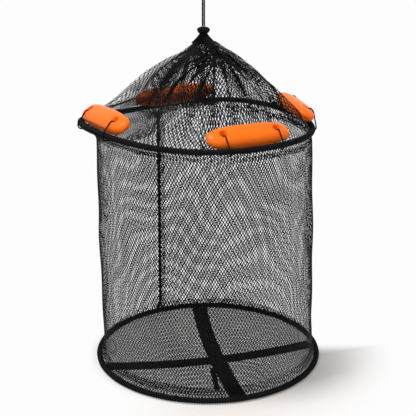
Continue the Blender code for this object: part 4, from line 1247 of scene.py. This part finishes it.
def strap_line(bow, swap):
    """Middle line of a strap, from hoop to hoop."""
    t = np.linspace(-HOOP_RADIUS, HOOP_RADIUS, 400)
    line = np.stack([t, strap_middle(bow, t)], axis=-1)
    inside = np.hypot(line[:, 0], line[:, 1]) < HOOP_RADIUS - STRAP_END
    line = line[inside]
    return line[:, ::-1] if swap else line


def webbing_profile():
    """A strap's section, across from -1 to 1 and up in metres: both faces with shallow ribs, the
    depth of each the sine of the way across, and edges that thin out."""
    across = np.linspace(-1.0, 1.0, STRAP_COLUMNS)
    swell = np.minimum(1.0, (1 - np.abs(across)) / SELVEDGE + SELVEDGE_LEFT)
    ribs = WEB_RIB_DEPTH * np.abs(np.sin(across * math.pi * WEB_RIBS))
    top = STRAP_THICKNESS / 2 * swell - WEB_RIB_DEPTH + ribs
    return np.concatenate([np.stack([across, top], -1), np.stack([across, -top], -1)[::-1]])


def add_strap(name, line, width, level, node):
    """A webbing strap: its section carried along its middle line."""
    start = run_along(line)
    steps = max(8, int(start[-1] / STRAP_STEP))
    run = np.linspace(0.0, start[-1], steps)
    line = np.stack([np.interp(run, start, line[:, axis]) for axis in (0, 1)], axis=-1)
    ahead = unit(np.gradient(line, axis=0))
    beside = np.stack([-ahead[:, 1], ahead[:, 0]], axis=-1)
    profile = webbing_profile()
    ring = len(profile)
    plan = line[:, None] + beside[:, None] * (profile[None, :, :1] * width / 2)
    height = np.broadcast_to(level + STRAP_THICKNESS / 2 + profile[None, :, 1:], (steps, ring, 1))
    points = np.concatenate([plan + LOWER_MIDDLE[:2], height], axis=-1).reshape(-1, 3)
    column = np.arange(STRAP_COLUMNS - 1)
    cap = np.stack([column, column + 1, ring - 2 - column, ring - 1 - column], axis=-1)
    quads = np.concatenate([grid_faces(steps, ring, wrap_columns=True), cap,
                            (steps - 1) * ring + cap[:, ::-1]])
    around = profile[:, 0] * width / 2
    marks = np.stack(np.broadcast_arrays(run[:, None], around[None]), axis=-1).reshape(-1, 2)
    mesh = new_mesh(name, points, quads, marks=marks[quads.reshape(-1)])
    mesh.set_sharp_from_angle(angle=STRAP_EDGE)
    piece = add_piece(name, mesh, WEBBING, "strap", node)
    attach(piece, "lower_ring")


def add_straps():
    """The cross strap, the long strap over it, and the tape tail beside the long one."""
    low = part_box("base_strap_cross")[0].z
    add_strap("base_strap_cross_webbing", strap_line(CROSS_STRAP_BOW, False), STRAP_WIDTH, low,
              "base_strap_cross")
    add_strap("base_strap_long_webbing", strap_line(LONG_STRAP_BOW, True), STRAP_WIDTH,
              low + STRAP_THICKNESS + FIT, "base_strap_long")
    back = TAIL_REACH - HOOP_RADIUS
    start = np.array([strap_middle(LONG_STRAP_BOW, back) - TAIL_ASIDE, back])
    ahead = np.array([math.cos(TAIL_TURN), math.sin(TAIL_TURN)])
    reach = np.linspace(0.0, TAIL_LENGTH, 20)[:, None] * ahead
    add_strap("strap_tail_tape", start + reach, TAIL_WIDTH, low, "strap_tail")


# Cord and knots

def cord_tube(name, path, slot, *nodes):
    """A laid cord: a round section with a lobe for each ply, twisted along the path."""
    run = run_along(path)
    turns = max(1, round(run[-1] / CORD_LAY))
    turn = run / run[-1] * turns * 2 * math.pi
    lift = np.zeros((1, len(path), 3))
    lift[..., 1] = -1.0
    section = round_section(CORD_DIAMETER / 2, CORD_SIDES, CORD_PLIES, PLY_SWELL, turn)
    arrays = sweep_arrays(path[None], lift, section[None])
    piece = add_piece(name, new_mesh(name, *arrays), CORD, slot, *nodes)
    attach(piece, "root")
    return piece


def resample(path, gap):
    """The path at even steps."""
    run = run_along(path)
    at = np.linspace(0.0, run[-1], max(3, int(run[-1] / gap)))
    return np.stack([np.interp(at, run, path[:, axis]) for axis in range(3)], axis=-1)


def add_draw_cord():
    """One cord: up its left strand, through the knot, round the hang loop and down the right."""
    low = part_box("draw_strand_left")[0].z
    loop_low, loop_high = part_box("hang_loop")
    half = STRAND_SPACING / 2
    radius = CORD_DIAMETER / 2
    turn = np.linspace(math.pi, 0.0, 41)
    belly = LOOP_WIDTH - CORD_DIAMETER - STRAND_SPACING
    reach = np.cos(turn) * (half + belly * np.sin(turn) ** LOOP_FULLNESS)
    rise = loop_low.z + (loop_high.z - loop_low.z - radius) * np.sin(turn)
    loop = np.stack([reach, 0 * turn, rise], axis=-1)
    strand = np.linspace(low, loop_low.z - STRAND_END, 30)
    level = np.zeros_like(strand)
    up = np.stack([level - half, level, strand], axis=-1)
    down = up[::-1] * np.array([-1.0, 1.0, 1.0])
    path = resample(np.concatenate([up, loop, down]), CORD_STEP)
    knot = add_knot("top_knot_tied", "top_knot", TOP_KNOT_RADIUS)
    cord = cord_tube("draw_cord", path, "cord", "hang_loop", "draw_strand_left",
                     "draw_strand_right")


def knot_core(middle, half):
    """The turns drawn tight inside a knot: a squarish round body, as sweep_arrays gives a tube.

    Its radius is the sine of the tilt from one end to the other, to a power that squares it.
    """
    pole = 0.02
    tilt = np.linspace(pole, math.pi - pole, 24)
    path = middle + np.stack([-np.cos(tilt) * half[0], 0 * tilt, 0 * tilt], -1)
    reach = np.sin(tilt)[:, None, None] ** KNOT_SQUARENESS
    section = reach * circle(full_turn(32)) * half[[2, 1]]
    lift = np.broadcast_to((0.0, -1.0, 0.0), (1, len(path), 3))
    return sweep_arrays(path[None], lift, section[None])


def add_knot(name, node, radius):
    """An overhand knot drawn tight: one closed round of a three-lobed knot line.

    The line is (sin t + 2 sin 2t, -sin 3t, cos t - 2 cos 2t), stretched to the knot's box.
    """
    low, high = (np.array(corner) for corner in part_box(node))
    middle = (low + high) / 2
    t = full_turn(220)
    line = np.stack([np.sin(t) + 2 * np.sin(2 * t), -np.sin(3 * t), np.cos(t) - 2 * np.cos(2 * t)],
                    axis=-1)
    path = middle + line / np.abs(line).max(axis=0) * ((high - low) / 2 - radius)
    ahead = unit(np.roll(path, -1, axis=0) - np.roll(path, 1, axis=0))
    away = unit(path - middle)
    lift = unit(away - ahead * (away * ahead).sum(-1, keepdims=True))
    section = round_section(radius, 14, CORD_PLIES, PLY_SWELL, t * 9)
    arrays = [sweep_arrays(path[None], lift[None], section[None], closed=True),
              knot_core(middle, (high - low) / 2 * KNOT_CORE)]
    piece = add_piece(name, new_mesh(name, *join_arrays(arrays)), CORD, "cord", node)
    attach(piece, "root")
    return piece


def add_mouth_cord():
    """The cord's bight through the gathered hem: down, half round and up again."""
    low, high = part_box("mouth_cord")
    half = STRAND_SPACING / 2
    bend = np.linspace(0.0, math.pi, 15)
    bottom = low.z + CORD_DIAMETER / 2 + half
    arc = np.stack([half * np.cos(bend), 0 * bend, bottom - half * np.sin(bend)], -1)
    path = np.concatenate([[(half, 0.0, high.z)], arc, [(-half, 0.0, high.z)]])
    cord_tube("mouth_cord_bight", resample(path, CORD_STEP), "cord", "mouth_cord")


def add_gathers():
    """The hem drawn together under the knot: a cone that spreads by a power of the way down.

    Its folds are a sine round it that leans to and fro, and the joins bunched in it a finer sine
    round it times one up it. A plain bore through its middle leaves room for the cord.
    """
    low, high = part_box("mouth_hem")
    rows, columns = 40, 240
    around = full_turn(columns)[None]
    rise = np.linspace(0.0, 1.0, rows)[:, None]
    outline = GATHERS_TOP + (GATHERS_BOTTOM - GATHERS_TOP) * (1 - rise) ** GATHERS_SPREAD
    depth = GATHERS_FOLD[0] + GATHERS_FOLD[1] * (1 - rise)
    folds = depth * np.sin(GATHERS_COUNT * around + waves(GATHERS_LEAN, around, rise))
    beads = np.sin(GATHERS_BEADS[0] * around + GATHERS_BEADS[1] * rise)
    beads = GATHERS_BEAD * beads * np.sin(GATHERS_BEAD_ROWS * rise - 1.0)
    bottom = low.z - GATHERS_DROP
    level = bottom + (high.z + GATHERS_RISE - bottom) * rise
    level = np.broadcast_to(level, (rows, columns))
    radii = np.concatenate([outline + folds + beads, np.full((rows, columns), GATHERS_BORE)])
    level = np.concatenate([level, level[::-1]])
    points = np.stack([radii * np.cos(around), radii * np.sin(around), level], axis=-1)
    quads = grid_faces(2 * rows, columns, wrap_rows=True, wrap_columns=True)[:, ::-1]
    turn = np.broadcast_to(around / (2 * math.pi) * GATHERS_COUNT, level.shape)
    marks = np.stack([level, turn], axis=-1).reshape(-1, 2)[quads.reshape(-1)]
    mesh = new_mesh("mouth_hem_gathers", points.reshape(-1, 3), quads, marks=marks)
    piece = add_piece("mouth_hem_gathers", mesh, NETTING, "netting", "mouth_hem")
    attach(piece, "root")


# Floats

def float_axes(name, lean):
    """A float's frame from its joint: middle, along, off its face and along its width."""
    joint = next(j for j in frame["joints"] if j["name"] == f"float_{name}_swing")
    middle = np.array(joint["pos_m"])
    along = unit(np.array(joint["axis"]))
    azimuth = next(entry[1] for entry in FLOATS if entry[0] == name) - math.pi / 2
    outward = np.array([math.cos(azimuth), math.sin(azimuth), 0.0])
    outward = unit(outward - along * outward.dot(along))
    upward = np.cross(outward, along)
    if upward[2] < 0:
        upward = -upward
    width = upward * math.cos(lean) + outward * math.sin(lean)
    face = outward * math.cos(lean) - upward * math.sin(lean)
    return middle, along, face, width


def squared(values, power):
    """The values to a power, with their signs kept."""
    return np.sign(values) * np.abs(values) ** power


def float_shell():
    """A rounded box with a thin parting line round its edge, about the float's middle.

    Its half length, width and thickness times the cosines and sines of the turn and the tilt,
    each to a power below 1. Points are (along, off the face, along the width).
    """
    turns, rows = 96, 44
    turn = full_turn(turns)
    tilt = np.linspace(0.0, math.pi, rows + 2)[1:-1, None]
    parting = PARTING_LINE * np.exp(-(np.cos(tilt) / PARTING_WIDTH) ** 2)
    reach = np.sin(tilt) ** FLOAT_ROUNDING * (1 + parting)
    x = FLOAT_LENGTH / 2 * reach * squared(np.cos(turn), FLOAT_SQUARENESS)
    w = FLOAT_WIDTH / 2 * reach * squared(np.sin(turn), FLOAT_SQUARENESS)
    f = FLOAT_THICKNESS / 2 * squared(np.cos(tilt), FLOAT_ROUNDING)
    points = np.stack([x, f + 0 * x, w], axis=-1).reshape(-1, 3)
    poles = np.array([(0.0, FLOAT_THICKNESS / 2, 0.0), (0.0, -FLOAT_THICKNESS / 2, 0.0)])
    top = len(points)
    caps = np.concatenate([fan(top, 0, turns, True),
                           fan(top + 1, (rows - 1) * turns, turns, False)])
    return np.concatenate([points, poles]), grid_faces(rows, turns, wrap_columns=True), caps


def hole_shell(side):
    """The cutter of a waisted hole, along the float's thickness.

    Its radius is the waist's, plus the widening times a power of the depth's share, plus a small
    lip that opens in the last stretch before the face.
    """
    turns, rows = 48, 25
    turn = full_turn(turns)
    reach = FLOAT_THICKNESS / 2
    middle = side * HOLE_SPACING / 2
    depth = np.linspace(-1.0, 1.0, rows)[:, None]
    deep = np.abs(depth)
    radius = HOLE_WAIST / 2 + (HOLE_WIDE - HOLE_WAIST) / 2 * deep ** HOLE_FLARE
    radius += HOLE_LIP * ease((deep - HOLE_LIP_START) / (1 - HOLE_LIP_START)) ** 2
    level = np.broadcast_to(reach * depth, (rows, turns))
    ring = np.stack([middle + radius * np.cos(turn), level, radius * np.sin(turn)], axis=-1)
    ends = np.array([(middle, -reach - CUT_PAST, 0.0), (middle, reach + CUT_PAST, 0.0)])
    pole = rows * turns
    caps = np.concatenate([fan(pole, 0, turns, False),
                           fan(pole + 1, (rows - 1) * turns, turns, True)])
    points = np.concatenate([ring.reshape(-1, 3), ends])
    return points, grid_faces(rows, turns, wrap_columns=True), caps


def add_float(name, lean, out):
    """A float: its shell with both holes cut through it, and its two lashings."""
    middle, along, face, width = float_axes(name, lean)
    axes = np.stack([along, face, width])
    centre = middle + face * out + width * FLOAT_RISE

    def solid(label, points, quads, caps):
        """An object of the float's own frame, put in its place in the net."""
        return place_object(label, new_mesh(label, centre + points @ axes, quads, caps))

    shell_name = f"float_{name}_moulding"
    body = solid(shell_name, *float_shell())
    cutters = [solid("cutter", *hole_shell(side)) for side in (-1, 1)]
    for cutter in cutters:
        cut = body.modifiers.new("hole", "BOOLEAN")
        cut.operation = "DIFFERENCE"
        cut.solver = "EXACT"
        cut.object = cutter
    for obj in [body] + cutters:
        make_outward(obj.data)
    bpy.context.view_layer.update()
    shape = body.evaluated_get(bpy.context.evaluated_depsgraph_get())
    mesh = bpy.data.meshes.new_from_object(shape)
    for obj in [body] + cutters:
        bpy.data.objects.remove(obj, do_unlink=True)
    mesh.name = shell_name
    mesh.polygons.foreach_set("use_smooth", np.ones(len(mesh.polygons), bool))
    mesh.set_sharp_from_angle(angle=HOLE_EDGE)
    piece = add_piece(shell_name, mesh, FLOAT_PLASTIC, "float", f"float_{name}")
    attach(piece, f"{name}_float")
    for side, tag in ((-1, "a"), (1, "b")):
        add_lashing(name, side, tag, out, middle, axes)


def make_outward(mesh):
    """Turns the faces of a closed mesh outwards."""
    shape = bmesh.new()
    shape.from_mesh(mesh)
    bmesh.ops.recalc_face_normals(shape, faces=shape.faces)
    shape.to_mesh(mesh)
    shape.free()


def half_thickness(across):
    """From the float's middle to its face, in line with a hole, by the float's own rule."""
    power = 2 / FLOAT_SQUARENESS
    along = HOLE_SPACING / FLOAT_LENGTH
    reach = (along ** power + abs(2 * across / FLOAT_WIDTH) ** power) ** (1 / power)
    flat = min(reach ** (1 / FLOAT_ROUNDING), 1.0)
    return FLOAT_THICKNESS / 2 * (1 - flat ** 2) ** (FLOAT_ROUNDING / 2)


def turns_back(first, second, third):
    """Whether the way from first to third by second doesn't turn left."""
    ahead = (second[0] - first[0]) * (third[1] - first[1])
    return ahead <= (second[1] - first[1]) * (third[0] - first[0])


def taut_round(spots):
    """The spots that a line drawn tight round them all touches, in order round them."""
    ordered = sorted(set(spots))
    sides = []
    for run in (ordered, ordered[::-1]):
        side = []
        for spot in run:
            while len(side) > 1 and turns_back(side[-2], side[-1], spot):
                side.pop()
            side.append(spot)
        sides.append(side[:-1])
    return sides[0] + sides[1]


def lashing_route(out):
    """A lashing as (off the face, along the width): through the hole and round the hoop.

    It comes out of the hole on both faces and is drawn tight round the float's edge and the
    hoop: the line that a thread would take round both, a clear distance off them.
    """
    clear = FACE_CLEAR + LASHING_DIAMETER / 2
    round_hoop = BINDING_DIAMETER / 2 + SLIP + LASHING_DIAMETER / 2
    spots = [tuple(spot) for spot in (round_hoop * circle(full_turn(LASHING_STEPS))).tolist()]
    lip = half_thickness(LASHING_LIP) + clear
    outer_lip = (out + lip, FLOAT_RISE - LASHING_LIP)
    spots += [outer_lip, (out - lip, FLOAT_RISE - LASHING_LIP)]
    for way in (1, -1):
        for across in np.linspace(LASHING_LIP, LASHING_EDGE * FLOAT_WIDTH / 2, EDGE_STEPS)[1:]:
            spots.append((out + way * (half_thickness(across) + clear), FLOAT_RISE - across))
    around = taut_round(spots)
    start = around.index(outer_lip)
    around = around[start:] + around[:start]
    inside = [[(out + way * share * half_thickness(0.0), FLOAT_RISE - low)
               for share, low in LASHING_IN_HOLE] for way in (1, -1)]
    loop = inside[0] + around[:1] + around[:0:-1] + inside[1][::-1] + [(out, FLOAT_RISE)]
    return np.array(loop)


def closed_evenly(spots, count):
    """The closed line through the spots at even steps, its corners slightly rounded."""
    ring = np.concatenate([spots, spots[:1]])
    run = run_along(ring)
    at = np.arange(count) * run[-1] / count
    line = np.stack([np.interp(at, run, ring[:, axis]) for axis in range(2)], axis=-1)
    for _ in range(LASHING_ROUNDINGS):
        line = (np.roll(line, 1, axis=0) + 2 * line + np.roll(line, -1, axis=0)) / 4
    return line


def add_lashing(name, side, tag, out, middle, axes):
    """One of a float's two lashings: a closed ring of twisted cord."""
    route = closed_evenly(lashing_route(out), LASHING_POINTS)
    beside = np.full(LASHING_POINTS, side * HOLE_SPACING / 2)
    path = middle + np.stack([beside, route[:, 0], route[:, 1]], -1) @ axes
    lift = np.broadcast_to(axes[0], (1, LASHING_POINTS, 3))
    section = round_section(LASHING_DIAMETER / 2, LASHING_SIDES, LASHING_PLIES, LASHING_SWELL,
                            full_turn(LASHING_POINTS) * LASHING_TWISTS)
    arrays = sweep_arrays(path[None], lift, section[None], closed=True)
    node = f"lashing_{name}_{tag}"
    piece = add_piece(f"{node}_cord", new_mesh(f"{node}_cord", *arrays), CORD, "cord", node)
    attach(piece, f"{name}_float")


# Hems and seam

def add_hem(which, low_way, high_way, inset, shift):
    """The doubled edge of the wall: a second layer of strands just inside the first.

    shift is how far the second layer's columns are from the first's, of half a column.
    """
    places, sides, ways = wall_places()
    inside = (ways >= low_way) & (ways <= high_way)
    rows = []
    for place, way in zip(places[inside], ways[inside]):
        point = wall_row(cloth_angles() + shift * math.pi / WALL_CHAINS, place, way)
        rows.append(point - outward_at(cloth_angles()) * inset)
    path, lift = strands_between(np.stack(rows), sides[inside], np.arange(WALL_CHAINS))
    name = f"{which}_hem_netting"
    mesh = new_mesh(name, *sweep_arrays(path, lift, net_section()))
    piece = add_piece(name, mesh, NETTING, "netting", f"{which}_hem")
    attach(piece, f"{which}_ring")


def seam_line(ways):
    """The seam's line on the wall, and its angle round the net at each point."""
    angle = SEAM_TOP_AT + (SEAM_BOTTOM_AT - SEAM_TOP_AT) * ways / 3
    line = np.array([wall_point(np.float64(a), way) for a, way in zip(angle, ways)])
    return line, angle


def add_seam():
    """The laced seam: three core cords up the back of the wall, laced round, and the lap of
    netting beside them, whose strands lie over the wall's own.

    The lace is a flat spiral about the cores, and each strand of the lap sways from side to side
    in smooth steps.
    """
    core, angle = seam_line(way_down(np.linspace(*SEAM_SPAN, SEAM_STEPS)))
    out = outward_at(angle)
    beside = beside_at(angle)
    core += out * SEAM_OFF_WALL
    twist = np.linspace(0.0, 2 * math.pi * SEAM_CORE_TWISTS, SEAM_STEPS)
    section = round_section(SEAM_CORE_RADIUS, 8, 2, 0.1, twist)
    parts = [sweep_arrays((core + beside * aside)[None], out[None], section[None])
             for aside in SEAM_CORES]
    wind = np.linspace(0.0, 2 * math.pi * LACE_TURNS, SEAM_STEPS)
    lace = core + beside * (LACE_ACROSS * np.cos(wind))[:, None]
    lace += out * (LACE_OFF * np.sin(wind))[:, None]
    parts.append(sweep_arrays(lace[None], out[None], round_section(LACE_RADIUS, 6)[None]))
    for chain in range(LAP_CHAINS):
        swing = np.cos(wind * LAP_CELLS + chain * math.pi)
        sway = LAP_SWAY * np.sign(swing) * ease(np.abs(swing) / 0.5)
        aside = sway - LAP_START - LAP_PITCH * chain
        lap = core - out * LAP_DEPTH + beside * aside[:, None]
        parts.append(sweep_arrays(lap[None], out[None], net_section()[None, None]))
    mesh = new_mesh("wall_seam_lacing", *join_arrays(parts))
    piece = add_piece("wall_seam_lacing", mesh, LACING, "binding", "wall_seam")
    blend_wall(piece)


def finish_cad_nodes():
    """The wire hoops and ferrules, inside the whipping, keep their own solids."""
    for which in ("upper", "lower"):
        for name, material in (("hoop", HOOP_STEEL), ("hoop_sleeve", FERRULE_STEEL)):
            node = frame["nodes"][f"{which}_{name}"]
            node.data.materials.clear()
            node.data.materials.append(material)


add_camera()
add_draw_cord()
add_world()
add_floor()
add_lamp("key", KEY_LAMP, KEY_COLOUR)
add_lamp("front", FRONT_LAMP, PLAIN_WHITE)
add_knot("apex_knot_tied", "apex_knot", APEX_KNOT_RADIUS)
add_mouth_cord()
add_gathers()
add_binding("upper_whipping", True, "upper_ring", "upper_binding")
add_binding("lower_whipping", False, "lower_ring", "lower_binding")
add_wall()
add_crown()
for hem in HEMS:
    add_hem(*hem)
add_seam()
add_base_netting()
add_straps()
for float_name, _, float_lean, float_out in FLOATS:
    add_float(float_name, float_lean, float_out)
finish_cad_nodes()

bpy.context.scene.view_settings.view_transform = "Standard"
